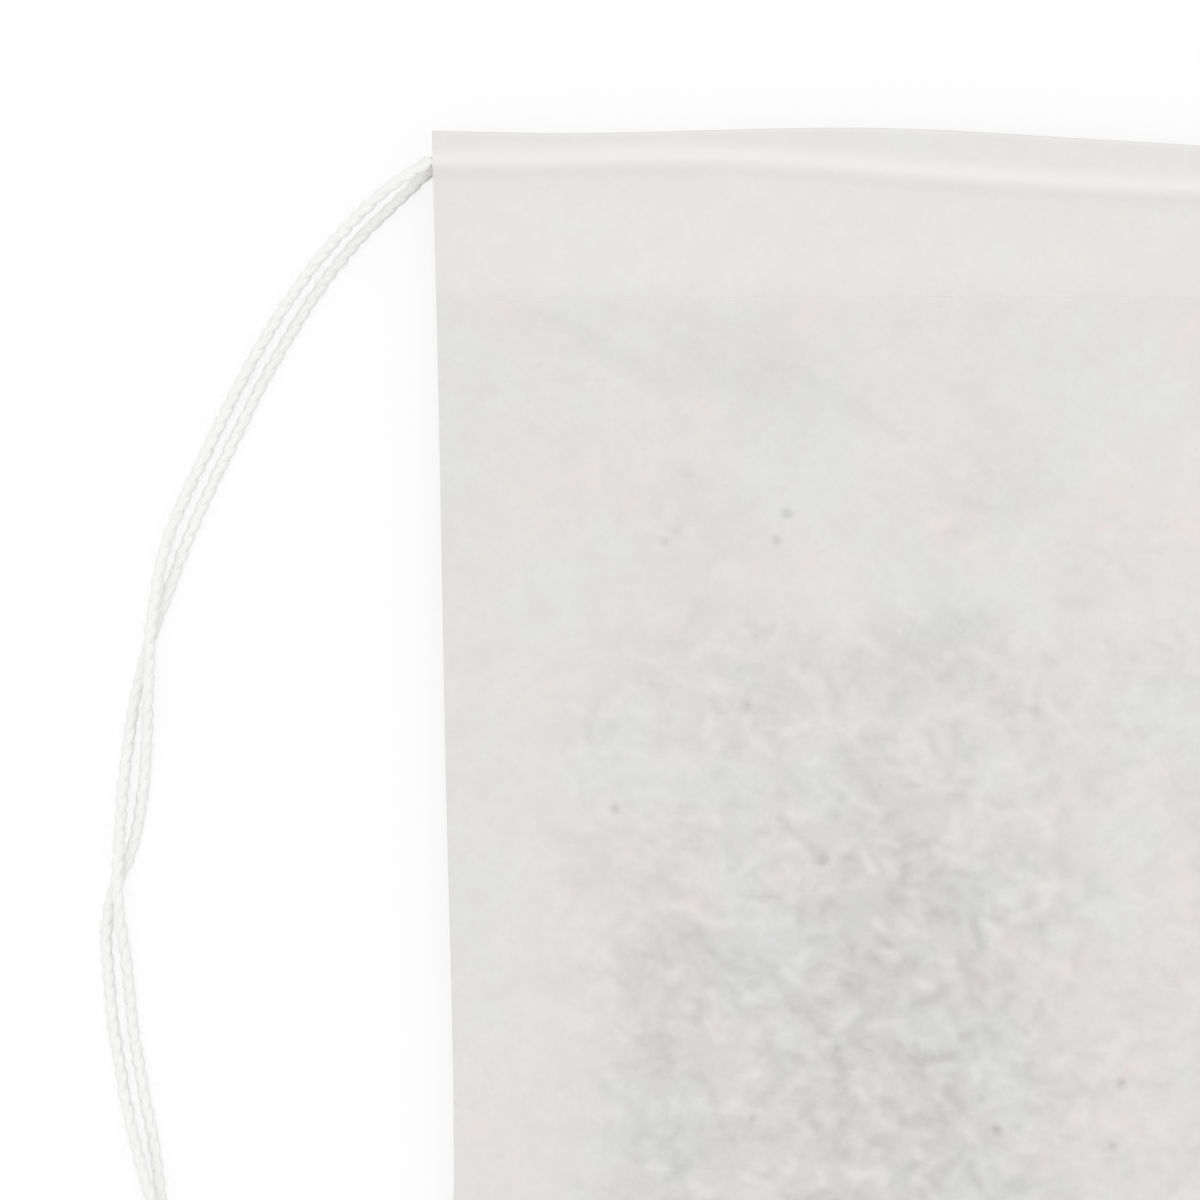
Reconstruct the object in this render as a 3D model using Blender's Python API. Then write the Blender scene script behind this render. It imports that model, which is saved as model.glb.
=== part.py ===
"""Drawstring tea bag of folded filter paper, filled with loose leaf and lying on its back.

Metres, +Z up. X runs across the bag, +Y points from the bottom fold to the open hem, and the back
layer rests on Z = 0. The drawstring runs through the front hem, round the right edge and back
through the rear hem. Both ends leave at the left edge, cross over each other and end in one knot.
"""

import math

import bmesh
import bpy
import numpy as np
from mathutils import Vector

# Paper
BAG_WIDTH = 0.055
BAG_HEIGHT = 0.070
PAPER_THICKNESS = 0.00015
SIDE_SEAL = 0.003  # width of the heat-sealed seam down each side
BOTTOM_FOLD = 0.0006  # solid paper below the inside at the bottom fold
SEAL_GAP = 0.0001  # opening between the layers where the inside begins
MOUTH_GAP = 0.0004  # opening between the layers at the top
HEM_DEPTH = 0.0095
HEM_LIFT = 0.00015  # of the rear hem's ridge above the table
RIDGE_COVER = 0.0002  # paper over the thread's channel
RIDGE_SLOPE = 0.00125  # run of the paper from the channel's side down to the flat hem
RIDGE_STAGGER = 0.0008  # the rear thread lies this much lower in its hem
SIDE_PULL = 0.00125  # how far the filling draws each side edge in

# Thread
THREAD_DIAMETER = 0.0007
THREAD_CLEARANCE = 0.0003  # round the thread in its channel, and from one stretch to the next
KNOT_LENGTH = 0.0034
KNOT_WIDTH = 0.0027
KNOT_THICKNESS = 0.0023
KNOT_FULLNESS = 0.7  # 1 is an ellipsoid, less has blunter ends
KNOT_GROOVE = 0.07  # depth of the grooves between the wraps, as a share of the radius
KNOT_TWIST = 2.5  # turn of the grooves from end to end
TAIL_LENGTH = 0.0055
TAIL_SPREAD = 0.35  # sideways run of a tail as a share of its length

# Filling
FILL_HEIGHT = 0.0052  # rise of the front layer over the heap
SLACK_HEIGHT = 0.0006  # rise of the empty upper part
FILL_BOTTOM_ROUND = 0.014  # length over which the layers part above the bottom fold
FILL_SHOULDER = 0.031  # height above the bottom fold where the heap begins to thin out
FILL_END = 0.053
BACK_FLATNESS = 1.4  # how soon the back layer reaches the table, 1 only at the middle
LUMP_SHARE = 0.05  # unevenness of the front layer as a share of its rise
TEA_CLEARANCE = 0.0003
TEA_SIDE_MARGIN = 0.005  # from the side seals to the heap
TEA_BOTTOM_MARGIN = 0.0022  # from the bottom fold to the heap
TEA_TOP_MARGIN = 0.006  # from the end of the filled part down to the heap
TEA_TOP_WAVE = 0.0022  # unevenness of the heap's upper edge
TEA_TOP_ROUND = 0.006  # drop of the heap's upper corners
TEA_BOTTOM_ROUND = 0.004  # rise of its lower corners
TEA_EDGE = 0.007  # length over which the heap's upper edge thins out
TEA_EDGE_SHARE = 0.35  # of the full depth, at that edge

# Creases in the front layer: start, end, height and half width
CREASES = (
    ((-0.0215, 0.0235), (0.0015, 0.0145), 0.00035, 0.0016),
    ((0.0040, 0.0130), (0.0125, 0.0170), 0.00030, 0.0015),
    ((-0.0175, 0.0120), (-0.0180, -0.0060), 0.00025, 0.0015),
)

# Shape of the top edge: share of the width from the left, and how far the edge drops there
TOP_EDGE = ((0.0, 0.0), (0.14, 0.00015), (0.45, -0.00014), (0.68, 0.0005), (1.0, 0.0016))
# Distance from the top edge to the front thread
FRONT_THREAD = ((0.0, 0.0017), (0.25, 0.00145), (0.5, 0.0024), (0.75, 0.00245), (1.0, 0.0019))
# Share of SIDE_PULL at shares of the height above the bottom fold
PULL = ((0.0, 0.55), (0.15, 1.0), (0.5, 0.6), (0.8, 0.28), (1.0, 0.0))

# Route of the pair of free runs from the left exit: x and y from the exit, the signed distance
# between the runs, and the lift of the front and the back run, the last three in thread pitches
PAIR_ROUTE = (
    (-0.00220, -0.00160, 0.80, 2.35, 0.50),
    (-0.00430, -0.00360, 0.85, 1.85, 0.32),
    (-0.00635, -0.00600, 0.95, 1.25, 0.15),
    (-0.00825, -0.00880, 1.05, 0.65, 0.03),
    (-0.01005, -0.01190, 1.10, 0.20, 0.00),
    (-0.01175, -0.01530, 1.12, 0.00, 0.00),
    (-0.01325, -0.01840, 1.12, 0.05, 0.00),
    (-0.01430, -0.02090, 1.05, 0.32, 0.00),
    (-0.01490, -0.02280, 0.80, 0.76, 0.00),
    (-0.01530, -0.02430, 0.50, 0.98, 0.00),
    (-0.01580, -0.02640, 0.00, 1.10, 0.00),
    (-0.01608, -0.02810, -0.40, 1.02, 0.00),
    (-0.01633, -0.02990, -0.75, 0.80, 0.00),
    (-0.01652, -0.03190, -1.00, 0.42, 0.00),
    (-0.01670, -0.03370, -1.12, 0.10, 0.04),
    (-0.01687, -0.03550, -1.10, 0.00, 0.22),
    (-0.01710, -0.03750, -0.85, 0.00, 0.70),
    (-0.01735, -0.03890, -0.50, 0.00, 0.98),
    (-0.01765, -0.04010, 0.00, 0.00, 1.10),
    (-0.01785, -0.04140, 0.50, 0.00, 0.98),
    (-0.01787, -0.04330, 0.95, 0.00, 0.52),
    (-0.01772, -0.04480, 1.08, 0.00, 0.15),
    (-0.01755, -0.04675, 1.12, 0.00, 0.00),
    (-0.01735, -0.04870, 1.10, 0.00, 0.00),
    (-0.01700, -0.05070, 1.08, 0.02, 0.00),
    (-0.01670, -0.05250, 1.08, 0.10, 0.00),
    (-0.01610, -0.05520, 0.95, 0.52, 0.00),
    (-0.01550, -0.05800, 0.45, 1.00, 0.00),
    (-0.01485, -0.06020, 0.00, 1.10, 0.00),
    (-0.01390, -0.06260, -0.60, 0.94, 0.00),
    (-0.01220, -0.06540, -1.08, 0.35, 0.00),
    (-0.00950, -0.06840, -1.15, 0.00, 0.00),
    (-0.00580, -0.07110, -1.15, 0.00, 0.00),
    (-0.00150, -0.07290, -1.15, 0.12, 0.12),
    (0.00080, -0.07350, -1.12, 0.40, 0.40),
)

# Mesh density
COLUMNS_INSIDE = 21
ROWS_BODY = 22
TEA_COLUMNS = 15
TEA_ROWS = 18
THREAD_STEP = 3 * THREAD_DIAMETER
TURN_POINTS = 7
KNOT_RINGS = 9
KNOT_SIDES = 14
TAIL_POINTS = 6

# Worked out from the sizes above
HALF_WIDTH = BAG_WIDTH / 2
INSIDE_HALF_WIDTH = HALF_WIDTH - SIDE_SEAL
BOTTOM = -BAG_HEIGHT / 2
BODY_HEIGHT = BAG_HEIGHT - HEM_DEPTH
THREAD_RADIUS = THREAD_DIAMETER / 2
CHANNEL_RADIUS = THREAD_RADIUS + THREAD_CLEARANCE
THREAD_PITCH = THREAD_DIAMETER + THREAD_CLEARANCE
CHANNEL_HEIGHT = MOUTH_GAP / 2 + PAPER_THICKNESS + CHANNEL_RADIUS  # from the middle plane
RIDGE_HEIGHT = CHANNEL_HEIGHT + CHANNEL_RADIUS + RIDGE_COVER
RIDGE_HALF_WIDTH = CHANNEL_RADIUS + RIDGE_SLOPE
MIDDLE = HEM_LIFT + RIDGE_HEIGHT  # height of the middle plane above the table
BACK_DEPTH = MIDDLE - MOUTH_GAP / 2 - PAPER_THICKNESS  # down to the table
TEA_HALF_WIDTH = INSIDE_HALF_WIDTH - TEA_SIDE_MARGIN
TEA_BOTTOM = BOTTOM_FOLD + TEA_BOTTOM_MARGIN
TEA_TOP = FILL_END - TEA_TOP_MARGIN
FRONT, BACK = 1, -1

COLOURS = {
    "paper": ((0.815, 0.805, 0.785), 0.86),
    "thread": ((0.86, 0.855, 0.84), 0.9),
    "tea": ((0.085, 0.052, 0.03), 0.85),
}


def clear_scene():
    for item in list(bpy.data.objects):
        bpy.data.objects.remove(item, do_unlink=True)


def make_material(name):
    colour, roughness = COLOURS[name]
    material = bpy.data.materials.new(name)
    material.use_nodes = True
    shader = material.node_tree.nodes["Principled BSDF"]
    shader.inputs["Base Color"].default_value = (*colour, 1.0)
    shader.inputs["Roughness"].default_value = roughness
    shader.inputs["Metallic"].default_value = 0.0
    return material


def add_object(name, data, material):
    item = bpy.data.objects.new(name, data)
    bpy.context.scene.collection.objects.link(item)
    if material:
        data.materials.append(material)
    return item


def clamp(value):
    return min(1.0, max(0.0, value))


def ease(value):
    share = clamp(value)
    return share * share * (3 - 2 * share)


def hermite(a, b, slope_a, slope_b, share):
    """Cubic from a to b with those slopes at its ends."""
    s2, s3 = share**2, share**3
    from_ends = (2 * s3 - 3 * s2 + 1) * a + (3 * s2 - 2 * s3) * b
    return from_ends + (s3 - 2 * s2 + share) * slope_a + (s3 - s2) * slope_b


def curve_value(points, at):
    """Value at a share of a smooth curve through (share, value) points."""
    last = len(points) - 2
    k = min(last, sum(at > p[0] for p in points[1:-1]))
    (x0, y0), (x1, y1) = points[k], points[k + 1]
    before = points[k - 1] if k > 0 else points[k]
    after = points[k + 2] if k < last else points[k + 1]
    slope_0 = (y1 - before[1]) / (x1 - before[0]) * (x1 - x0)
    slope_1 = (after[1] - y0) / (after[0] - x0) * (x1 - x0)
    return hermite(y0, y1, slope_0, slope_1, (at - x0) / (x1 - x0))


def smooth_line(points, step):
    """Points about a step apart on a smooth curve through the given points."""
    points = [np.array(p, float) for p in points]
    padded = [2 * points[0] - points[1], *points, 2 * points[-1] - points[-2]]
    fine = []
    for before, a, b, after in zip(padded, padded[1:], padded[2:], padded[3:]):
        for share in np.arange(0, 1, 0.1):
            fine.append(hermite(a, b, (b - before) / 2, (after - a) / 2, share))
    fine = np.array([*fine, points[-1]])
    along = np.concatenate([[0], np.cumsum(np.linalg.norm(np.diff(fine, axis=0), axis=1))])
    at = np.linspace(0, along[-1], round(along[-1] / step) + 1)
    return [Vector([np.interp(x, along, fine[:, k]) for k in range(3)]) for x in at]


def share_across(s):
    return (s + HALF_WIDTH) / BAG_WIDTH


def top_edge(s):
    return BAG_HEIGHT / 2 - curve_value(TOP_EDGE, share_across(s))


def place(s, drop):
    """X and Y of the paper at s across, a distance down from its top edge."""
    up = BAG_HEIGHT - drop
    pull = SIDE_PULL * curve_value(PULL, up / BAG_HEIGHT)
    x = s * (1 - pull / HALF_WIDTH)
    if drop <= HEM_DEPTH:
        return x, top_edge(s) - drop
    return x, BOTTOM + up / BODY_HEIGHT * (top_edge(s) - HEM_DEPTH - BOTTOM)


def thread_drop(s, side):
    """Distance from the top edge down to the thread in the front or rear hem."""
    drop = curve_value(FRONT_THREAD, share_across(s))
    return drop if side == FRONT else drop + RIDGE_STAGGER


def fill_shares(s, drop):
    """Shares, 0 to 1, of the side rounding, the bottom rounding and the heap at a place."""
    up = BAG_HEIGHT - drop
    across = max(0.0, 1 - (s / INSIDE_HALF_WIDTH) ** 2) ** 0.8
    rise = math.sin(math.pi / 2 * clamp((up - BOTTOM_FOLD) / FILL_BOTTOM_ROUND))
    heap = 1 - ease((up - FILL_SHOULDER) / (FILL_END - FILL_SHOULDER))
    return across, rise, heap


def lumps(x, y):
    """Gentle unevenness of the paper over the heap, -1 to 1."""
    broad = math.sin(340 * x + 1.1) * math.cos(290 * y - 0.4)
    fine = math.sin(610 * x - 420 * y + 2.0) * math.cos(380 * x + 560 * y)
    return 0.6 * broad + 0.4 * fine


def crease_height(x, y):
    height = 0.0
    for start, end, rise, half_width in CREASES:
        a, b, p = Vector(start), Vector(end), Vector((x, y))
        share = clamp((p - a).dot(b - a) / (b - a).length_squared)
        away = (p - a - share * (b - a)).length
        height += rise * math.exp(-((away / half_width) ** 2))
    return height


def bulge(s, drop, side):
    """How far a layer stands out from the middle plane, beyond the mouth gap."""
    across, rise, heap = fill_shares(s, drop)
    if drop <= HEM_DEPTH:
        return 0.0
    if side == BACK:
        return BACK_DEPTH * clamp(BACK_FLATNESS * across * rise * heap)
    near_hem = ease((drop - HEM_DEPTH) / HEM_DEPTH)
    x, y = place(s, drop)
    filled = FILL_HEIGHT * heap * (1 + LUMP_SHARE * lumps(x, y))
    slack = SLACK_HEIGHT * (1 - heap) * near_hem
    return across * rise * (filled + slack) + ease(3 * across) * near_hem * crease_height(x, y)


def inner_height(s, drop, side):
    """Distance from the middle plane to a layer's inner face."""
    at_seal = abs(s) >= INSIDE_HALF_WIDTH or drop >= BAG_HEIGHT - BOTTOM_FOLD
    return (SEAL_GAP if at_seal else MOUTH_GAP) / 2 + bulge(s, drop, side)


def outer_height(s, drop, side):
    """Distance from the middle plane to a layer's outer face."""
    if drop > HEM_DEPTH:
        return inner_height(s, drop, side) + PAPER_THICKNESS
    base = inner_height(s, drop, side) + 2 * PAPER_THICKNESS
    away = clamp(abs(drop - thread_drop(s, side)) / RIDGE_HALF_WIDTH)
    return base + (RIDGE_HEIGHT - base) * math.cos(math.pi / 2 * away) ** 2


def column_places():
    inside = np.linspace(-INSIDE_HALF_WIDTH, INSIDE_HALF_WIDTH, COLUMNS_INSIDE)
    return [-HALF_WIDTH, *inside, HALF_WIDTH]


def row_drops(s):
    """Distances from the top edge of the outer faces' rows, down to the bottom fold."""
    front = thread_drop(s, FRONT)
    above = [front * share for share in (0.0, 0.3, 0.55, 0.78)]
    beside = [0.0, RIDGE_STAGGER / 2, RIDGE_STAGGER]
    below = [RIDGE_STAGGER + RIDGE_HALF_WIDTH * share for share in (0.25, 0.5, 0.75, 1.0)]
    ridge = [front + away for away in beside + below]
    rest = [ridge[-1] + (HEM_DEPTH - ridge[-1]) * share for share in (0.5, 1.0)]
    return [*above, *ridge, *rest, *body_drops()]


def body_drops():
    """The rows below the hem: its lower edge, then down to the inside's end and the fold."""
    first = HEM_DEPTH + PAPER_THICKNESS / 2
    shares = [math.sin(math.pi / 2 * k / ROWS_BODY) for k in range(ROWS_BODY + 1)]
    end = BAG_HEIGHT - BOTTOM_FOLD
    even = [first + (end - first) * (0.5 * k / ROWS_BODY + 0.5 * x) for k, x in enumerate(shares)]
    return [*even, BAG_HEIGHT]


def grid(mesh, columns, rows_at, height_at):
    """Vertices of one face of the paper, as a list of columns."""
    made = []
    for s in columns:
        column = []
        for drop in rows_at(s):
            x, y = place(s, drop)
            column.append(mesh.verts.new((x, y, height_at(s, drop))))
        made.append(column)
    return made


def fill_grid(mesh, columns):
    for left, right in zip(columns, columns[1:]):
        join_lines(mesh, left, right)


def join_lines(mesh, line_a, line_b):
    for (a, b), (c, d) in zip(zip(line_a, line_a[1:]), zip(line_b, line_b[1:])):
        mesh.faces.new((a, b, d, c))


def paper_mesh():
    """The folded sheet as one closed body: two outer faces, two inner faces and their edges."""
    mesh = bmesh.new()
    columns = column_places()
    inside = columns[1:-1]
    mouth_row = [0.0, HEM_DEPTH]
    inner_rows = [*mouth_row, *body_drops()[:-1]]
    outer = {}
    inner = {}
    for side in (FRONT, BACK):
        outer[side] = grid(
            mesh, columns, row_drops, lambda s, d: MIDDLE + side * outer_height(s, d, side)
        )
        inner[side] = grid(
            mesh, inside, lambda s: inner_rows, lambda s, d: MIDDLE + side * inner_height(s, d, side)
        )
        fill_grid(mesh, outer[side])
        fill_grid(mesh, inner[side])
        join_lines(mesh, [c[0] for c in outer[side][1:-1]], [c[0] for c in inner[side]])
    for end in (0, -1):
        join_lines(mesh, outer[FRONT][end], outer[BACK][end])
        join_lines(mesh, inner[FRONT][end], inner[BACK][end])
    join_lines(mesh, [c[-1] for c in outer[FRONT]], [c[-1] for c in outer[BACK]])
    join_lines(mesh, [c[-1] for c in inner[FRONT]], [c[-1] for c in inner[BACK]])
    for edge, beside in ((0, 1), (-1, -2)):
        mesh.faces.new(
            (
                outer[FRONT][edge][0],
                outer[FRONT][beside][0],
                inner[FRONT][edge][0],
                inner[BACK][edge][0],
                outer[BACK][beside][0],
                outer[BACK][edge][0],
            )
        )
    bmesh.ops.recalc_face_normals(mesh, faces=mesh.faces)
    data = bpy.data.meshes.new("bag_paper")
    mesh.to_mesh(data)
    mesh.free()
    return data


def thread_line(side, reach):
    """Points along the thread in one hem, left to right, reaching past both edges."""
    count = round(BAG_WIDTH / THREAD_STEP)
    points = []
    for k in range(count + 1):
        s = -HALF_WIDTH + BAG_WIDTH * k / count
        x, y = place(s, thread_drop(s, side))
        points.append(Vector((x, y, MIDDLE + side * CHANNEL_HEIGHT)))
    if reach:
        out = Vector((reach, 0, 0))
        points = [points[0] - out, *points, points[-1] + out]
    return points


def tube(name, points, radius, material=None):
    """A round tube with filled ends along straight pieces between the points."""
    curve = bpy.data.curves.new(name, "CURVE")
    curve.dimensions = "3D"
    curve.bevel_depth = radius
    curve.bevel_resolution = 2
    curve.use_fill_caps = True
    spline = curve.splines.new("POLY")
    spline.points.add(len(points) - 1)
    for target, point in zip(spline.points, points):
        target.co = (*point, 1.0)
    spline.use_smooth = True
    return add_object(name, curve, material)


def guide_tube(name, points, radius):
    """The same tube as a closed mesh, for a Boolean to use."""
    curve = tube(name + "_curve", points, radius)
    data = bpy.data.meshes.new_from_object(curve)
    bpy.data.objects.remove(curve)
    mesh = bmesh.new()
    mesh.from_mesh(data)
    bmesh.ops.remove_doubles(mesh, verts=mesh.verts, dist=0.000001)
    bmesh.ops.recalc_face_normals(mesh, faces=mesh.faces)
    mesh.to_mesh(data)
    mesh.free()
    guide = add_object(name, data, None)
    guide.hide_render = True
    guide.display_type = "WIRE"
    return guide


def add_boolean(target, guide, operation):
    boolean = target.modifiers.new(guide.name, "BOOLEAN")
    boolean.operation = operation
    boolean.solver = "EXACT"
    boolean.object = guide


def cut_channel(paper, side, name):
    line = thread_line(side, 2 * THREAD_DIAMETER)
    add_boolean(paper, guide_tube(name, line, CHANNEL_RADIUS), "DIFFERENCE")


def build_paper(material):
    paper = add_object("bag_paper", paper_mesh(), material)
    paper.data.shade_smooth()
    paper.data.set_sharp_from_angle(angle=math.radians(40))
    cut_channel(paper, FRONT, "front_channel_cutter")
    cut_channel(paper, BACK, "back_channel_cutter")
    return paper


def build_hem_loop(material):
    """The thread inside both hems, with its turn round the right edge."""
    front = thread_line(FRONT, 0)
    back = thread_line(BACK, 0)
    centre = (front[-1] + back[-1]) / 2 + Vector((CHANNEL_RADIUS, 0, 0))
    across = (front[-1] - back[-1]) / 2
    turn = []
    for k in range(TURN_POINTS):
        angle = math.pi * k / (TURN_POINTS - 1)
        out = Vector((across.length * math.sin(angle), 0, 0))
        turn.append(centre + across * math.cos(angle) + out)
    return tube("drawstring_hem_loop", [*front, *turn, *back[::-1]], THREAD_RADIUS, material)


def exit_point(side):
    x, y = place(-HALF_WIDTH, thread_drop(-HALF_WIDTH, side))
    return Vector((x - THREAD_CLEARANCE, y, MIDDLE + side * CHANNEL_HEIGHT))


def run_points(side):
    """Route points of one free run, from its exit to the knot."""
    start = (exit_point(FRONT) + exit_point(BACK)) / 2
    middles = [Vector((start.x + row[0], start.y + row[1])) for row in PAIR_ROUTE]
    ahead = [*middles[1:], 2 * middles[-1] - middles[-2]]
    behind = [Vector((start.x, start.y)), *middles[:-1]]
    leaving = Vector((-0.8, -0.25, 0)) * THREAD_DIAMETER
    points = [exit_point(side), exit_point(side) + leaving]
    for row, middle, a, b in zip(PAIR_ROUTE, middles, behind, ahead):
        heading = (b - a).normalized()
        left = Vector((-heading.y, heading.x))
        at = middle - side * left * row[2] * THREAD_PITCH / 2
        lift = row[3] if side == FRONT else row[4]
        points.append(Vector((at.x, at.y, THREAD_RADIUS + lift * THREAD_PITCH)))
    return points


def run_line(side):
    """The free run's centreline, nowhere below a thread that lies on the table."""
    line = smooth_line(run_points(side), THREAD_STEP)
    for point in line:
        point.z = max(point.z, THREAD_RADIUS)
    return line


def knot_frame():
    """Centre of the knot and the direction in which the runs enter it."""
    front, back = run_points(FRONT), run_points(BACK)
    end = (front[-1] + back[-1]) / 2
    heading = (end - (front[-2] + back[-2]) / 2).to_2d().normalized().to_3d()
    centre = end + heading * (THREAD_CLEARANCE + KNOT_LENGTH / 2)
    centre.z = KNOT_THICKNESS / 2
    return centre, heading


def knot_mesh():
    """A tight overhand knot as a lump with the wraps of the thread round it."""
    mesh = bmesh.new()
    centre, heading = knot_frame()
    sideways = Vector((-heading.y, heading.x, 0))
    rings = []
    for k in range(1, KNOT_RINGS):
        angle = math.pi * k / KNOT_RINGS
        ring = []
        for n in range(KNOT_SIDES):
            turn = 2 * math.pi * n / KNOT_SIDES
            wrap = 1 - KNOT_GROOVE * (1 + math.cos(2 * turn + KNOT_TWIST * angle))
            out = math.sin(angle) ** KNOT_FULLNESS * wrap
            offset = heading * -math.cos(angle) * KNOT_LENGTH / 2
            offset += sideways * math.cos(turn) * out * KNOT_WIDTH / 2
            offset += Vector((0, 0, math.sin(turn) * out * KNOT_THICKNESS / 2))
            ring.append(mesh.verts.new(centre + offset))
        rings.append(ring)
    for a, b in zip(rings, rings[1:]):
        join_lines(mesh, [*a, a[0]], [*b, b[0]])
    for ring, way in ((rings[0], -1), (rings[-1], 1)):
        tip = mesh.verts.new(centre + heading * way * KNOT_LENGTH / 2)
        for a, b in zip(ring, [*ring[1:], ring[0]]):
            mesh.faces.new((a, b, tip))
    bmesh.ops.recalc_face_normals(mesh, faces=mesh.faces)
    data = bpy.data.meshes.new("drawstring_knot")
    mesh.to_mesh(data)
    mesh.free()
    return data


def tail_points(spread):
    """A cut end of the thread, lying on the table beyond the knot."""
    centre, heading = knot_frame()
    sideways = Vector((-heading.y, heading.x, 0))
    inside = centre + heading * KNOT_LENGTH / 4 + sideways * spread * KNOT_WIDTH / 7
    reach = KNOT_LENGTH / 4 + TAIL_LENGTH
    points = []
    for k in range(TAIL_POINTS):
        share = k / (TAIL_POINTS - 1)
        point = inside + heading * reach * share
        point += sideways * spread * TAIL_LENGTH * TAIL_SPREAD * share**1.5
        point.z = THREAD_RADIUS + (centre.z - THREAD_RADIUS) * (1 - ease(1.6 * share))
        points.append(point)
    return smooth_line(points, THREAD_STEP / 2)


def build_knot(material):
    knot = add_object("drawstring_knot", knot_mesh(), material)
    knot.data.shade_smooth()
    for name, spread in (("front_tail_guide", 1.0), ("back_tail_guide", -1.0)):
        add_boolean(knot, guide_tube(name, tail_points(spread), THREAD_RADIUS), "UNION")
    return knot


def tea_top(s):
    """Uneven upper edge of the heap, above the bottom fold."""
    wave = TEA_TOP_WAVE * (1 + math.sin(260 * s + 0.6))
    return TEA_TOP - wave - TEA_TOP_ROUND * (s / TEA_HALF_WIDTH) ** 4


def tea_mesh():
    """The heap of loose leaf, clear of the paper all round."""
    mesh = bmesh.new()
    faces = {FRONT: [], BACK: []}
    for i in range(TEA_COLUMNS):
        s = TEA_HALF_WIDTH * math.sin(math.pi / 2 * (2 * i / (TEA_COLUMNS - 1) - 1))
        low = TEA_BOTTOM + TEA_BOTTOM_ROUND * (s / TEA_HALF_WIDTH) ** 4
        ups = [low + (tea_top(s) - low) * k / (TEA_ROWS - 1) for k in range(TEA_ROWS)]
        lines = {FRONT: [], BACK: []}
        for up in ups:
            drop = BAG_HEIGHT - up
            x, y = place(s, drop)
            base = MIDDLE - inner_height(s, drop, BACK) + TEA_CLEARANCE
            top = MIDDLE + inner_height(s, drop, FRONT) - TEA_CLEARANCE
            thin = TEA_EDGE_SHARE + (1 - TEA_EDGE_SHARE) * ease((tea_top(s) - up) / TEA_EDGE)
            lines[BACK].append(mesh.verts.new((x, y, base)))
            lines[FRONT].append(mesh.verts.new((x, y, base + (top - base) * thin)))
        for side in (FRONT, BACK):
            faces[side].append(lines[side])
    for side in (FRONT, BACK):
        fill_grid(mesh, faces[side])
    for end in (0, -1):
        join_lines(mesh, faces[FRONT][end], faces[BACK][end])
        join_lines(mesh, [c[end] for c in faces[FRONT]], [c[end] for c in faces[BACK]])
    bmesh.ops.recalc_face_normals(mesh, faces=mesh.faces)
    data = bpy.data.meshes.new("tea_fill")
    mesh.to_mesh(data)
    mesh.free()
    return data


def build_tea(material):
    tea = add_object("tea_fill", tea_mesh(), material)
    tea.data.shade_smooth()
    return tea


def main():
    clear_scene()
    build_paper(make_material("paper"))
    build_tea(make_material("tea"))
    thread = {name: make_material("thread") for name in ("loop", "front", "back", "knot")}
    build_hem_loop(thread["loop"])
    tube("drawstring_front_run", run_line(FRONT), THREAD_RADIUS, thread["front"])
    tube("drawstring_back_run", run_line(BACK), THREAD_RADIUS, thread["back"])
    build_knot(thread["knot"])


main()
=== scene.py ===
"""Looks of a drawstring tea bag: folded filter paper over loose leaf, and its cotton drawstring.

Metres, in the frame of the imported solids: X across the bag, +Y towards the open hem, +Z up.
The sizes and the drawstring's route repeat those of the solids. The paper is one folded sheet
with real hems, the leaf presses through it, and the drawstring is one twisted thread.
"""

import math

import bmesh
import bpy
import numpy as np
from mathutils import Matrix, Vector


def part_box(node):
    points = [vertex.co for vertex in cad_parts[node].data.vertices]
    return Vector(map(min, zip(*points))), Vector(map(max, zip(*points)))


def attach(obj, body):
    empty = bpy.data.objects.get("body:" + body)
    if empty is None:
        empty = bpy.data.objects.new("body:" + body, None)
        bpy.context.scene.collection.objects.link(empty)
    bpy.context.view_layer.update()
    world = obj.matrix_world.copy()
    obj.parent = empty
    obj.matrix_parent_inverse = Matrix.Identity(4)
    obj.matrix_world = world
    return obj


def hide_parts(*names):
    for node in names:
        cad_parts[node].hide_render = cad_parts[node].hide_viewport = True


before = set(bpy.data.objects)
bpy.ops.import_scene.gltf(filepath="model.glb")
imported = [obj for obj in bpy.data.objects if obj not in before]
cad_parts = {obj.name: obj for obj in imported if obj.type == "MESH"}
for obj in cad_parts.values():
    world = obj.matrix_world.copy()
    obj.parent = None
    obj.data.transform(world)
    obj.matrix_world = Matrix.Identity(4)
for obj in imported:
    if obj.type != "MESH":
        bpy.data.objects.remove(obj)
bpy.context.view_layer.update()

# Paper
BAG_WIDTH = 0.055
BAG_HEIGHT = 0.070
PAPER_THICKNESS = 0.00015
SIDE_SEAL = 0.003
BOTTOM_FOLD = 0.0006
SEAL_GAP = 0.0001
MOUTH_GAP = 0.0004
HEM_DEPTH = 0.0095
HEM_LIFT = 0.00015
RIDGE_COVER = 0.0002
RIDGE_STAGGER = 0.0005  # the solid's is 0.0008
SIDE_PULL = 0.00125

# Thread
THREAD_DIAMETER = 0.0007
THREAD_CLEARANCE = 0.0003
KNOT_LENGTH = 0.0034
KNOT_THICKNESS = 0.0023
TAIL_LENGTH = 0.0055
TAIL_SPREAD = 0.35

# Filling
FILL_HEIGHT = 0.0052
SLACK_HEIGHT = 0.0006
FILL_BOTTOM_ROUND = 0.014
FILL_SHOULDER = 0.031
FILL_END = 0.053
BACK_FLATNESS = 1.4
SIDE_SLACKNESS = 1.3  # softer towards the side seals than the solid's 0.8
LUMP_SHARE = 0.05
TEA_CLEARANCE = 0.0003
TEA_SIDE_MARGIN = 0.005
TEA_BOTTOM_MARGIN = 0.0022
TEA_TOP_MARGIN = 0.006
TEA_TOP_WAVE = 0.0022
TEA_TOP_ROUND = 0.006
TEA_BOTTOM_ROUND = 0.004
TEA_EDGE = 0.007
TEA_EDGE_SHARE = 0.35
LEAF_SINK = 0.00022  # from the heap's face to the middle of the leaves that lie on it

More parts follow.
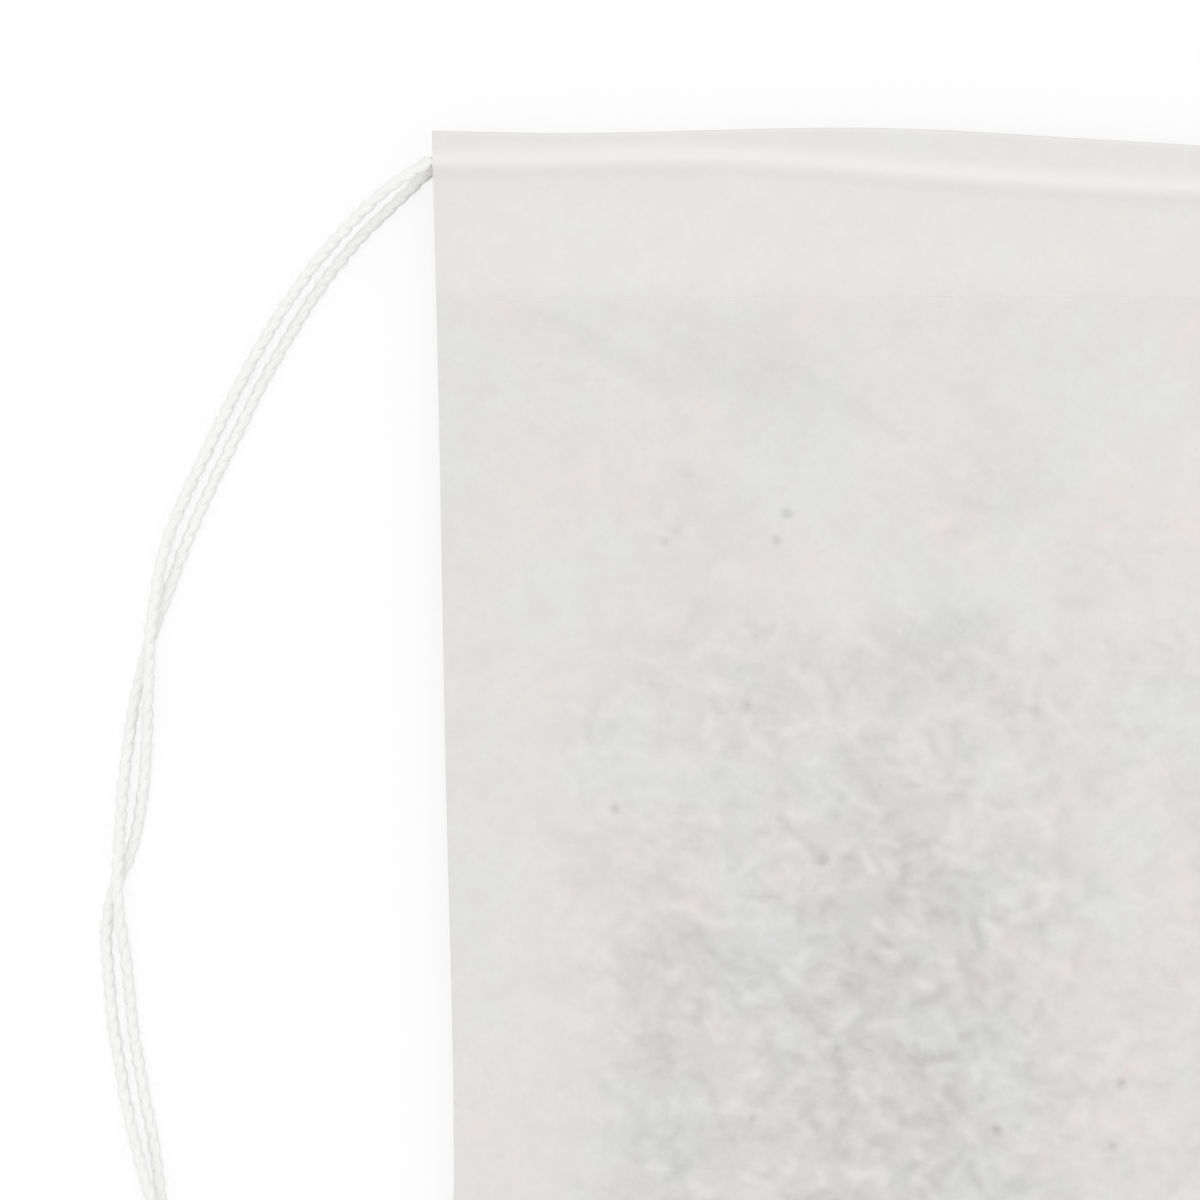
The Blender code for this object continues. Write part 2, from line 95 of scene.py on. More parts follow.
# Shape of the top edge, distance from it to the front thread, and the sides' draw, by share
TOP_EDGE = ((0.0, 0.0), (0.14, 0.00015), (0.45, -0.00014), (0.68, 0.0005), (1.0, 0.0016))
FRONT_THREAD = ((0.0, 0.0017), (0.25, 0.00145), (0.5, 0.0024), (0.75, 0.00245), (1.0, 0.0019))
PULL = ((0.0, 0.55), (0.15, 1.0), (0.5, 0.6), (0.8, 0.28), (1.0, 0.0))

# Route of the pair of free runs from the left exit: x and y from the exit, the signed distance
# between the runs, and the lift of the front and the back run, the last three in thread pitches
PAIR_ROUTE = (
    (-0.00220, -0.00160, 0.80, 2.35, 0.50),
    (-0.00430, -0.00360, 0.85, 1.85, 0.32),
    (-0.00635, -0.00600, 0.95, 1.25, 0.15),
    (-0.00825, -0.00880, 1.05, 0.65, 0.03),
    (-0.01005, -0.01190, 1.10, 0.20, 0.00),
    (-0.01175, -0.01530, 1.12, 0.00, 0.00),
    (-0.01325, -0.01840, 1.12, 0.05, 0.00),
    (-0.01430, -0.02090, 1.05, 0.32, 0.00),
    (-0.01490, -0.02280, 0.80, 0.76, 0.00),
    (-0.01530, -0.02430, 0.50, 0.98, 0.00),
    (-0.01580, -0.02640, 0.00, 1.10, 0.00),
    (-0.01608, -0.02810, -0.40, 1.02, 0.00),
    (-0.01633, -0.02990, -0.75, 0.80, 0.00),
    (-0.01652, -0.03190, -1.00, 0.42, 0.00),
    (-0.01670, -0.03370, -1.12, 0.10, 0.04),
    (-0.01687, -0.03550, -1.10, 0.00, 0.22),
    (-0.01710, -0.03750, -0.85, 0.00, 0.70),
    (-0.01735, -0.03890, -0.50, 0.00, 0.98),
    (-0.01765, -0.04010, 0.00, 0.00, 1.10),
    (-0.01785, -0.04140, 0.50, 0.00, 0.98),
    (-0.01787, -0.04330, 0.95, 0.00, 0.52),
    (-0.01772, -0.04480, 1.08, 0.00, 0.15),
    (-0.01755, -0.04675, 1.12, 0.00, 0.00),
    (-0.01735, -0.04870, 1.10, 0.00, 0.00),
    (-0.01700, -0.05070, 1.08, 0.02, 0.00),
    (-0.01670, -0.05250, 1.08, 0.10, 0.00),
    (-0.01610, -0.05520, 0.95, 0.52, 0.00),
    (-0.01550, -0.05800, 0.45, 1.00, 0.00),
    (-0.01485, -0.06020, 0.00, 1.10, 0.00),
    (-0.01390, -0.06260, -0.60, 0.94, 0.00),
    (-0.01220, -0.06540, -1.08, 0.35, 0.00),
    (-0.00950, -0.06840, -1.15, 0.00, 0.00),
    (-0.00580, -0.07110, -1.15, 0.00, 0.00),
    (-0.00150, -0.07290, -1.15, 0.12, 0.12),
    (0.00080, -0.07350, -1.12, 0.40, 0.40),
)

# Way of the pair through the knot, from the knot's centre: along the heading, sideways and up
KNOT_ROUTE = (
    (-0.00115, 0.00000, -0.00025),
    (0.00000, 0.00010, -0.00030),
    (0.00085, 0.00020, -0.00028),
    (0.00135, 0.00055, 0.00005),
    (0.00112, 0.00062, 0.00050),
    (0.00075, 0.00025, 0.00074),
    (0.00050, -0.00030, 0.00072),
    (0.00022, -0.00075, 0.00020),
    (-0.00005, -0.00060, -0.00048),
    (-0.00030, 0.00010, -0.00076),
    (-0.00060, 0.00074, -0.00030),
    (-0.00085, 0.00062, 0.00042),
    (-0.00112, 0.00010, 0.00060),
    (-0.00130, -0.00030, 0.00030),
    (-0.00085, -0.00022, 0.00012),
    (0.00000, -0.00012, 0.00022),
    (0.00090, -0.00008, 0.00018),
)

# Creases in the front layer, whose height also sets the painted shade along them: height, half width and
# the line's points
CREASES = (
    (0.00020, 0.0006, ((-0.0243, 0.0256), (-0.0212, 0.0250), (-0.0181, 0.0230), (-0.0147, 0.0212))),
    (0.00014, 0.0009, ((-0.0140, 0.0232), (-0.0112, 0.0212), (-0.0085, 0.0205))),
    (0.00016, 0.0004, ((-0.0088, 0.0220), (-0.0068, 0.0213), (-0.0040, 0.0196), (-0.0012, 0.0178))),
    (0.00008, 0.0006, ((-0.0012, 0.0178), (0.0004, 0.0164), (0.0017, 0.0147))),
    (0.00007, 0.0004, ((0.0030, 0.0139), (0.0067, 0.0137), (0.0095, 0.0134), (0.0120, 0.0124))),
    (0.00008, 0.0008, ((0.0110, 0.0165), (0.0090, 0.0150), (0.0080, 0.0134), (0.0084, 0.0110))),
    (0.00008, 0.0005, ((-0.0198, 0.0165), (-0.0186, 0.0131), (-0.0182, 0.0087), (-0.0179, 0.0053))),
    (0.00006, 0.0005, ((-0.0179, 0.0053), (-0.0184, 0.0005), (-0.0180, -0.0062))),
    (0.00006, 0.0004, ((-0.0180, 0.0066), (-0.0200, 0.0052), (-0.0215, 0.0040))),
    (0.00006, 0.0004, ((-0.0125, 0.0083), (-0.0085, 0.0075), (-0.0036, 0.0055))),
    (0.00012, 0.0006, ((0.0150, 0.0200), (0.0185, 0.0150), (0.0195, 0.0100))),
    (0.00012, 0.0006, ((0.0195, 0.0100), (0.0202, 0.0020), (0.0196, -0.0080))),
)

# Painted highlights along soft folds, drawn in the same way: share of darkening that they take away
PAINTED_FOLD_HIGHLIGHTS = (
    (0.55, 0.0006, ((0.0079, 0.0134), (0.0095, 0.0154), (0.0129, 0.0174), (0.0156, 0.0172))),
    (0.35, 0.0007, ((-0.0187, 0.0161), (-0.0184, 0.0110), (-0.0181, 0.0046))),
    (0.35, 0.0006, ((0.0055, 0.0140), (0.0068, 0.0100), (0.0076, 0.0046))),
    (0.45, 0.0005, ((-0.0034, 0.0152), (-0.0015, 0.0168), (0.0010, 0.0172))),
    (0.40, 0.0006, ((-0.0150, 0.0168), (-0.0118, 0.0172), (-0.0090, 0.0160))),
)

# Crumbs of leaf that show as dark specks: x, y and radius
CRUMBS = (
    (-0.0076, 0.0135, 0.00028),
    (-0.0082, 0.0120, 0.00026),
    (-0.0144, 0.0119, 0.00024),
    (-0.0099, 0.0028, 0.00030),
    (-0.0172, -0.0030, 0.00026),
    (-0.0057, -0.0057, 0.00036),
    (0.0061, 0.0026, 0.00028),
    (-0.0049, -0.0162, 0.00032),
    (-0.0049, -0.0181, 0.00032),
    (0.0030, -0.0189, 0.00028),
    (0.0039, -0.0207, 0.00036),
    (0.0026, -0.0090, 0.00026),
    (0.0064, -0.0094, 0.00026),
    (0.0109, -0.0182, 0.00030),
    (-0.0096, -0.0201, 0.00028),
    (0.0104, -0.0217, 0.00028),
    (0.0162, -0.0060, 0.00028),
    (0.0128, -0.0282, 0.00030),
)

# Patches of stray leaf above the heap: x, y, radius and how much there is, 0 to 1
STRAYS = (
    (-0.0118, 0.0134, 0.0042, 0.55),
    (-0.0086, 0.0205, 0.0030, 0.22),
    (0.0030, 0.0150, 0.0036, 0.30),
    (0.0125, 0.0105, 0.0042, 0.45),
    (-0.0192, 0.0010, 0.0022, 0.35),
    (0.0172, 0.0145, 0.0024, 0.25),
)

# Faint soft patches on the upper front: x, y, radius and darkening; the lighter patches on the right are
# painted light, brighter towards that side
PATCHES_AND_PAINTED_LIGHT = (
    (-0.0113, 0.0228, 0.0034, 0.042),
    (-0.0070, 0.0200, 0.0032, 0.034),
    (-0.0195, 0.0232, 0.0030, 0.020),
    (-0.0110, 0.0168, 0.0030, -0.014),
    (-0.0128, 0.0120, 0.0032, 0.026),
    (0.0052, 0.0154, 0.0034, 0.034),
    (-0.0010, 0.0120, 0.0036, 0.020),
    (0.0002, 0.0064, 0.0026, 0.060),
    (-0.0110, 0.0035, 0.0040, 0.020),
    (0.0165, 0.0215, 0.0060, -0.022),
    (0.0165, 0.0120, 0.0055, -0.022),
    (0.0125, 0.0180, 0.0040, -0.010),
)

# Worked out from the sizes above
HALF_WIDTH = BAG_WIDTH / 2
INSIDE_HALF_WIDTH = HALF_WIDTH - SIDE_SEAL
BOTTOM = -BAG_HEIGHT / 2
BODY_HEIGHT = BAG_HEIGHT - HEM_DEPTH
THREAD_RADIUS = THREAD_DIAMETER / 2
CHANNEL_RADIUS = THREAD_RADIUS + THREAD_CLEARANCE
THREAD_PITCH = THREAD_DIAMETER + THREAD_CLEARANCE
CHANNEL_HEIGHT = MOUTH_GAP / 2 + PAPER_THICKNESS + CHANNEL_RADIUS
MIDDLE = HEM_LIFT + CHANNEL_HEIGHT + CHANNEL_RADIUS + RIDGE_COVER
BACK_DEPTH = MIDDLE - MOUTH_GAP / 2 - PAPER_THICKNESS
TEA_HALF_WIDTH = INSIDE_HALF_WIDTH - TEA_SIDE_MARGIN
TEA_BOTTOM = BOTTOM_FOLD + TEA_BOTTOM_MARGIN
TEA_TOP = FILL_END - TEA_TOP_MARGIN
FRONT, BACK = 1, -1
HALF_TURN = np.linspace(0, math.pi, 7)  # angles of the points round a fold

# The hem as folded paper
HEM_LINE = 0.02567  # Y of the front hem's lower edge
HEM_WAVE = 0.00003
EDGE_GAP = 0.00002  # from the hem's cut edge to the first row below it
INNER_HOLD = 0.0001  # the inner face stays this far behind the outer one's bulge
PRESS_BLEND = 0.002  # from the seals or hems to where leaf presses on the paper in full
HEM_SINK = 0.00029  # the thread lies this much lower than in the middle of its channel
HEM_THREAD_HEIGHT = CHANNEL_HEIGHT - HEM_SINK
RIDGE_TOP = HEM_THREAD_HEIGHT + THREAD_RADIUS + 1.25 * PAPER_THICKNESS
# The ridge reaches further up than down, which also spreads its painted highlight over the upper slope.
RIDGE_REACH_UP = 0.00145  # from the thread towards the top edge
RIDGE_REACH_DOWN = 0.00125
FLAP_PLIES = 0.9
# Whitening over the thread: partly the white thread showing through the paper, partly a painted highlight
# along the ridge.
RIDGE_THREAD_AND_HIGHLIGHT = 1.8  # how much the thread under the ridge whitens it, in layers of paper
FLAP_GAP = 0.000004
FLAP_EDGE = 0.0010  # length over which the flap's pressed edge thins out
FLAP_EDGE_SHARE = 0.03
# Painted highlight on the hem's cut edge, whiter than its layers of paper.
EDGE_HIGHLIGHT = 0.7  # the cut edge catches the light
FLAP_FADE = 0.0012  # length over which the whiteness of double paper fades at that edge
SEAL_BLEND = 0.0035

# Twisted thread
PLY_RADIUS = 0.00025
PLY_OFFSET = THREAD_RADIUS - PLY_RADIUS
EXIT_REACH = 0.00012  # the free run starts this far past the side edge
EXIT_DROP = 0.00008  # and this much below the thread's level in the hem
EXIT_BEND = 0.0005  # the thread begins to bend this far inside the hem
EXIT_HEADING = (-0.55, -0.28, 0)  # first step of a free run, in thread diameters
TWIST_LENGTH = 0.0019
TWIST_DRIFT, DRIFT_LENGTH = 0.35, 0.011  # slow change of the twist: radians, and its period
STRAND_WAVES = (0.0009, 0.0017, 0.0031, 0.0068)  # periods of a strand's uneven thickness
STRAND_WAVE_SHARE = 0.022
RING_STEP = 0.00012
EXIT_RINGS = 4  # the free runs' pieces begin this many rings before the exit, inside the hem
PLY_SIDES = 12
PLY_LOWEST = 0.000004  # the plies stay this far above the table
FIBRE_TURN = 0.00045  # length for a radian's turn of a ply's fibres
FIBRE_LENGTH = 0.0011
HAIRS_PER_METRE = 9000
HAIR_RADIUS = 0.000006
HAIR_LOWEST = 0.00002
HAIR_ROOT = 0.86  # in radii of the thread, from its middle to where a hair starts
HAIR_REACHES = (0.00015, 0.0006)
HAIR_LEANS = (0.6, 1.6)  # how far a hair leans along the thread, in reaches
HAIR_RISE, HAIR_CURL = 0.55, 0.6  # how far it rises off the thread and curls, in reaches
FRAY_RADIUS = 0.000011
FRAYED_COUNT = 34  # more hairs at each cut end
FRAY_DEPTH, FRAY_WIDTH = 0.0001, 0.00009  # where they start: before the cut, and beside its middle
FRAY_REACHES = (0.0002, 0.0009)
FRAY_SPLAY = 0.28
KNOT_PAIR = 0.00024  # from the middle of the pair to each strand in the knot

# Places that the photograph's framing gives
VIEW_CENTRE = (-0.01806, 0.00865)
VIEW_WIDTH = 0.0674
VIEW_LENS = 200.0
VIEW_SENSOR = 36.0
VIEW_PLANE = MIDDLE


def ease(value):
    share = np.clip(value, 0.0, 1.0)
    return share * share * (3 - 2 * share)


def hermite(a, b, slope_a, slope_b, share):
    """Cubic from a to b with those slopes at its ends."""
    s2, s3 = share**2, share**3
    from_ends = (2 * s3 - 3 * s2 + 1) * a + (3 * s2 - 2 * s3) * b
    return from_ends + (s3 - 2 * s2 + share) * slope_a + (s3 - s2) * slope_b


def curve_values(points, at):
    """Values at shares of a smooth curve through (share, value) points."""
    places, values = np.array(points).T
    last = len(places) - 1
    index = np.arange(last + 1)
    before, after = np.maximum(index - 1, 0), np.minimum(index + 1, last)
    slopes = (values[after] - values[before]) / (places[after] - places[before])
    k = np.clip(np.searchsorted(places, at) - 1, 0, last - 1)
    gap = places[k + 1] - places[k]
    share = (at - places[k]) / gap
    return hermite(values[k], values[k + 1], slopes[k] * gap, slopes[k + 1] * gap, share)


def along_line(points):
    steps = np.linalg.norm(np.diff(points, axis=0), axis=1)
    return np.concatenate([[0], np.cumsum(steps)])


def smooth_line(points, step):
    """Points about a step apart on a smooth curve through the given points."""
    points = [np.array(p, float) for p in points]
    padded = [2 * points[0] - points[1], *points, 2 * points[-1] - points[-2]]
    fine = []
    for before, a, b, after in zip(padded, padded[1:], padded[2:], padded[3:]):
        for share in np.arange(0, 1, 0.1):
            fine.append(hermite(a, b, (b - before) / 2, (after - a) / 2, share))
    return even_line(np.array([*fine, points[-1]]), step)


def even_line(points, step):
    along = along_line(points)
    at = np.linspace(0, along[-1], round(along[-1] / step) + 1)
    return np.stack([np.interp(at, along, points[:, k]) for k in range(3)], axis=1)


# Form of the paper, as in the solids

def share_across(s):
    return (s + HALF_WIDTH) / BAG_WIDTH


def top_edge(s):
    return BAG_HEIGHT / 2 - curve_values(TOP_EDGE, share_across(s))


def place(s, drop):
    """X and Y of the paper at s across, a distance down from its top edge."""
    up = BAG_HEIGHT - drop
    pull = SIDE_PULL * curve_values(PULL, up / BAG_HEIGHT)
    below = BOTTOM + up / BODY_HEIGHT * (top_edge(s) - HEM_DEPTH - BOTTOM)
    return s * (1 - pull / HALF_WIDTH), np.where(drop <= HEM_DEPTH, top_edge(s) - drop, below)


def thread_drop(s, side):
    """Distance from the top edge down to the thread in the front or rear hem."""
    return curve_values(FRONT_THREAD, share_across(s)) + (0 if side == FRONT else RIDGE_STAGGER)


def fill_shares(s, drop):
    """Shares, 0 to 1, of the side rounding, the bottom rounding and the heap at a place."""
    up = BAG_HEIGHT - drop
    across = np.maximum(0.0, 1 - (s / INSIDE_HALF_WIDTH) ** 2) ** SIDE_SLACKNESS
    rise = np.sin(np.pi / 2 * np.clip((up - BOTTOM_FOLD) / FILL_BOTTOM_ROUND, 0, 1))
    heap = 1 - ease((up - FILL_SHOULDER) / (FILL_END - FILL_SHOULDER))
    return across, rise, heap


def lumps(x, y):
    """Gentle unevenness of the paper over the heap, -1 to 1."""
    broad = np.sin(340 * x + 1.1) * np.cos(290 * y - 0.4)
    fine = np.sin(610 * x - 420 * y + 2.0) * np.cos(380 * x + 560 * y)
    return 0.6 * broad + 0.4 * fine


def bulge(s, drop, side):
    """How far a layer stands out from the middle plane, beyond the mouth gap."""
    across, rise, heap = fill_shares(s, drop)
    below_hem = drop > HEM_DEPTH
    if side == BACK:
        return below_hem * BACK_DEPTH * np.clip(BACK_FLATNESS * across * rise * heap, 0, 1)
    near_hem = ease((drop - HEM_DEPTH) / HEM_DEPTH)
    filled = FILL_HEIGHT * heap * (1 + LUMP_SHARE * lumps(*place(s, drop)))
    slack = SLACK_HEIGHT * (1 - heap) * near_hem
    return below_hem * across * rise * (filled + slack)


def layer_gap(s, drop):
    """Half the opening between the layers: closed at the seals, a little open between them."""
    inside = ease((INSIDE_HALF_WIDTH + SEAL_BLEND / 2 - np.abs(s)) / SEAL_BLEND)
    inside = inside * ease((BAG_HEIGHT - BOTTOM_FOLD / 2 - drop) / BOTTOM_FOLD)
    return (SEAL_GAP + (MOUTH_GAP - SEAL_GAP) * inside) / 2


# Fields over the front: what presses through the paper, on a fine even raster

RASTER = 0.0001
FIELD_X = np.arange(-HALF_WIDTH, HALF_WIDTH + RASTER, RASTER)
FIELD_Y = np.arange(BOTTOM, -BOTTOM + RASTER, RASTER)
FINE_FROM = 0.0215  # drop below the top edge from which the rows of the front lie closest
FINE_ROWS, BACK_ROWS = 205, 42
LEAF_COUNT = 3000
LEAF_AREA = ((-0.0205, -0.0335), (0.0215, 0.0170))
NEEDLE_LENGTH = 0.0016
NEEDLE_WIDTHS = (0.00022, 0.00042)
NEEDLE_RISE = 0.00019
BASE_SHADE = 0.035  # darkening of the whole sheet, from which the lighter places depart
DEPTH_SHADE = 0.180  # where the leaf lies deepest
CONTACT_SHADE = 0.080  # where a needle touches the paper
DEEP_CONTACT, HEART_CONTACT = 0.045, 0.070  # and more where leaf lies deep, and in the heart
BLOTCH_SHADE, HEART_BLOTCH = 0.010, 0.022  # uneven darkness, and more of it in the heart
# Partly a painted highlight on the raised needles, standing in for their lit sides.
CLEARED_AND_LIT_SHARE = 0.95  # of the darkening, gone where a needle holds the paper off the leaf
CRUMB_RADIUS, CRUMB_SHADE = 0.00024, 0.30  # the smallest and palest of the crumbs
CRUMB_DARKER = 1500  # more darkening for each metre of radius
# Painted shade along the creases, from their height.
PAINTED_CREASE_SHADE = 240.0  # darkening for each metre of a crease's height

# Borders of the leaf behind the front, and the lengths over which it thins out there
LEAF_LEFT, LEAF_RIGHT, LEAF_TOP, LEAF_BOTTOM = -0.0220, 0.0205, 0.0096, -0.0325
LEFT_FADE, RIGHT_FADE, TOP_FADE, BOTTOM_FADE = 0.0066, 0.0040, 0.0048, 0.0030

# The heap's heart and its lower left corner: middle, reach across, and where they fade upward
HEART_X, HEART_REACH, HEART_TOP, HEART_FADE = -0.0022, 0.0098, 0.0100, 0.019
CORNER_X, CORNER_REACH, CORNER_TOP, CORNER_FADE = -0.0134, 0.0062, -0.0018, 0.010
CORNER_DEPTH = 0.82
SPREAD_DEPTH, SPREAD_FALL = 0.42, 0.36  # depth elsewhere, and how much less on the right
SPREAD_FROM, SPREAD_FADE = 0.0045, 0.008

# Paler places in the leaf: x, y, reach across and along, and how much of the depth they take away
PALER_LEAF = (
    (0.0128, -0.0088, 0.0036, 0.0058, 1.0),
    (-0.0146, -0.0008, 0.0040, 0.0038, 0.8),
)

# Random lumps: how many, the area, the range of radii and the spread of their heights
LEAF_LUMPS = (700, ((-0.0200, -0.0330), (0.0210, 0.0140)), (0.0006, 0.0018), 0.00006)
BROAD_LUMPS = (260, ((-0.0265, -0.0340), (0.0265, 0.0240)), (0.0012, 0.0040), 0.00004)
BLOTCHES = (420, ((-0.0200, -0.0330), (0.0210, 0.0100)), (0.0008, 0.0024), 0.45)


def window(centre, reach):
    """Slices of the raster round a place, and the offsets of its cells from there."""
    i = slice(*np.searchsorted(FIELD_X, (centre[0] - reach, centre[0] + reach)))
    j = slice(*np.searchsorted(FIELD_Y, (centre[1] - reach, centre[1] + reach)))
    return i, j, FIELD_X[i, None] - centre[0], FIELD_Y[None, j] - centre[1]


def press_needle(field, centre, angle, length, width, bend, value):
    """Raises the field to the smooth profile of a bent needle where that is higher."""
    i, j, x, y = window(centre, length / 2 + 2 * width)
    along = x * math.cos(angle) + y * math.sin(angle)
    across = y * math.cos(angle) - x * math.sin(angle) + bend * along**2
    beyond = np.maximum(0, np.abs(along) - length / 2 + width)
    profile = value * np.exp(-(across**2 + beyond**2) / width**2)
    np.maximum(field[i, j], profile, out=field[i, j])


def add_lump(field, centre, radius, value):
    i, j, x, y = window(centre, 2.5 * radius)
    field[i, j] += value * np.exp(-(x**2 + y**2) / radius**2)


def add_crease(field, points, half_width, value):
    line = [np.array(p) for p in points]
    for k in range(len(line) - 1):
        a, b = line[k], line[k + 1]
        middle, reach = (a + b) / 2, np.linalg.norm(b - a) / 2 + 3 * half_width
        i, j, x, y = window(middle, reach)
        x, y = x + middle[0] - a[0], y + middle[1] - a[1]
        share = np.clip((x * (b - a)[0] + y * (b - a)[1]) / np.dot(b - a, b - a), 0, 1)
        away2 = (x - share * (b - a)[0]) ** 2 + (y - share * (b - a)[1]) ** 2
        ends = 1.0 if len(line) > 3 else 0.85
        profile = ends * value * np.exp(-away2 / half_width**2)
        np.maximum(field[i, j], profile, out=field[i, j])


def soften(field, cells):
    """Evens out a field over about that many cells."""
    weights = np.exp(-((np.arange(-3 * cells, 3 * cells + 1) / cells) ** 2))
    weights /= weights.sum()
    for axis in (0, 1):
        field = np.apply_along_axis(np.convolve, axis, field, weights, "same")
    return field


def leaf_cover(x, y):
    """Where leaf lies against the front layer, 0 to 1, with an uneven border and a few strays."""
    left = x - LEAF_LEFT + 0.0008 * np.sin(900 * y + 0.5) + 0.0006 * np.sin(2300 * y)
    above = LEAF_TOP - y + 0.0010 * np.sin(520 * x + 1.0) + 0.0005 * np.sin(1900 * x)
    cover = ease(left / LEFT_FADE) * ease((LEAF_RIGHT - x) / RIGHT_FADE) * ease(above / TOP_FADE)
    cover = cover * ease((y - LEAF_BOTTOM) / BOTTOM_FADE)
    for middle_x, middle_y, reach, share in STRAYS:
        away2 = ((x - middle_x) ** 2 + (y - middle_y) ** 2) / reach**2
        cover = np.maximum(cover, share * np.exp(-away2))
    return cover


def leaf_heart(x, y):
    """Where the heap presses hardest against the front layer, 0 to 1."""
    across = np.exp(-(((x - HEART_X) / HEART_REACH) ** 2))
    return leaf_cover(x, y) * across * ease((HEART_TOP - y) / HEART_FADE)


def leaf_depth(x, y):
    """How deep the leaf lies there, 0 to 1, which darkens the paper."""
    corner = CORNER_DEPTH * np.exp(-(((x - CORNER_X) / CORNER_REACH) ** 2))
    corner = corner * ease((CORNER_TOP - y) / CORNER_FADE)
    spread = SPREAD_DEPTH - SPREAD_FALL * ease((x - SPREAD_FROM) / SPREAD_FADE)
    depth = np.maximum(leaf_heart(x, y), leaf_cover(x, y) * np.maximum(spread, corner))
    paler = 0
    for middle_x, middle_y, across, along, share in PALER_LEAF:
        away2 = ((x - middle_x) / across) ** 2 + ((y - middle_y) / along) ** 2
        paler = paler + share * np.exp(-away2)
    return depth * (1 - 0.9 * paler)


def press_leaf(rng):
    """Fields of the needles' height, and of where they touch the paper and where they clear it; the
    clearing strokes are partly painted highlights.
    """
    needles, contact, clear = np.zeros((3, len(FIELD_X), len(FIELD_Y)))
    for _ in range(LEAF_COUNT):
        centre = rng.uniform(*LEAF_AREA)
        angle = rng.normal(0, 0.75)
        length = NEEDLE_LENGTH * math.exp(rng.normal(0, 0.32))
        width = rng.uniform(*NEEDLE_WIDTHS)
        bend = rng.normal(0, 180)
        height = rng.uniform(0.35, 1.0)
        touch = rng.uniform(-1, 1)
        cover = leaf_cover(*centre)
        if cover < rng.uniform(0, 1) * 0.9:
            continue
        press_needle(needles, centre, angle, length, width, bend, height * cover)
        pressed = contact if touch > 0 else clear
        press_needle(pressed, centre, angle, 0.9 * length, 0.88 * width, bend, abs(touch) ** 0.8)
    return needles, contact, clear


def scatter_lumps(field, rng, count, area, radii, spread, weight=None):
    """Adds soft random lumps, each as high as its draw times the weight at its place."""
    for _ in range(count):
        centre = rng.uniform(*area)
        radius = rng.uniform(*radii)
        share = weight(*centre) if weight else 1
        add_lump(field, centre, radius, rng.normal(0, spread) * share)


def lump_weight(x, y):
    return 0.15 + leaf_cover(x, y)


def front_fields():
    """Relief in metres and darkening, 0 to 1, of the front layer on the raster: leaf through the paper,
    with painted shade in the creases and painted highlights and light.
    """
    rng = np.random.RandomState(11)
    needles, contact, clear = press_leaf(rng)
    relief, crease, blotches = np.zeros((3, *needles.shape))
    scatter_lumps(relief, rng, *LEAF_LUMPS, lump_weight)
    scatter_lumps(relief, rng, *BROAD_LUMPS)
    relief += NEEDLE_RISE * soften(needles, 1)
    for height, half_width, points in CREASES:
        add_crease(crease, points, half_width, height)
    relief += crease
    places = FIELD_X[:, None], FIELD_Y[None, :]
    depth, heart = leaf_depth(*places), leaf_heart(*places)
    scatter_lumps(blotches, rng, *BLOTCHES)
    blotches = np.clip(blotches, -1.4, 1.4)
    shade = BASE_SHADE + depth * (DEPTH_SHADE + (BLOTCH_SHADE + HEART_BLOTCH * heart) * blotches)
    # Darker and lighter patches; those on the right are painted light.
    for x, y, radius, value in PATCHES_AND_PAINTED_LIGHT:
        add_lump(shade, (x, y), radius, value)
    # Lighter strokes where needles hold the paper off the leaf, partly painted highlights on the raised
    # needles.
    shade -= CLEARED_AND_LIT_SHARE * shade * soften(clear, 1)
    touching = CONTACT_SHADE + DEEP_CONTACT * depth + HEART_CONTACT * heart
    shade += touching * soften(contact, 1)
    # Painted shade along the creases.
    shade += PAINTED_CREASE_SHADE * crease
    # Painted highlights along soft folds take away some of the darkening.
    for share, half_width, points in PAINTED_FOLD_HIGHLIGHTS:
        fold = np.zeros_like(shade)
        add_crease(fold, points, half_width, share)
        shade -= shade * fold
    for x, y, radius in CRUMBS:
        dark = CRUMB_SHADE + CRUMB_DARKER * (radius - CRUMB_RADIUS)
        press_needle(shade, (x, y), rng.uniform(0, math.pi), 2.5 * radius, 1.05 * radius, 0, dark)
    return relief, np.clip(shade, 0, 1)


def sample(field, x, y):
    """Values of a raster field at places, evened between its cells."""
    i = np.clip((x - FIELD_X[0]) / RASTER, 0, len(FIELD_X) - 1.001)
    j = np.clip((y - FIELD_Y[0]) / RASTER, 0, len(FIELD_Y) - 1.001)
    i0, j0 = i.astype(int), j.astype(int)
    u, v = i - i0, j - j0
    low = field[i0, j0] * (1 - u) + field[i0 + 1, j0] * u
    high = field[i0, j0 + 1] * (1 - u) + field[i0 + 1, j0 + 1] * u
    return low * (1 - v) + high * v


# The paper as one folded sheet

def column_places():
    """Places across the bag, closest where the leaf shows."""
    seal = np.linspace(INSIDE_HALF_WIDTH, HALF_WIDTH, 9)
    slope = np.linspace(0.0200, INSIDE_HALF_WIDTH, 17)[:-1]
    middle = np.linspace(-0.0200, 0.0200, 171)[1:-1]
    right = np.concatenate([slope, seal])
    return np.concatenate([-right[::-1], middle, right])


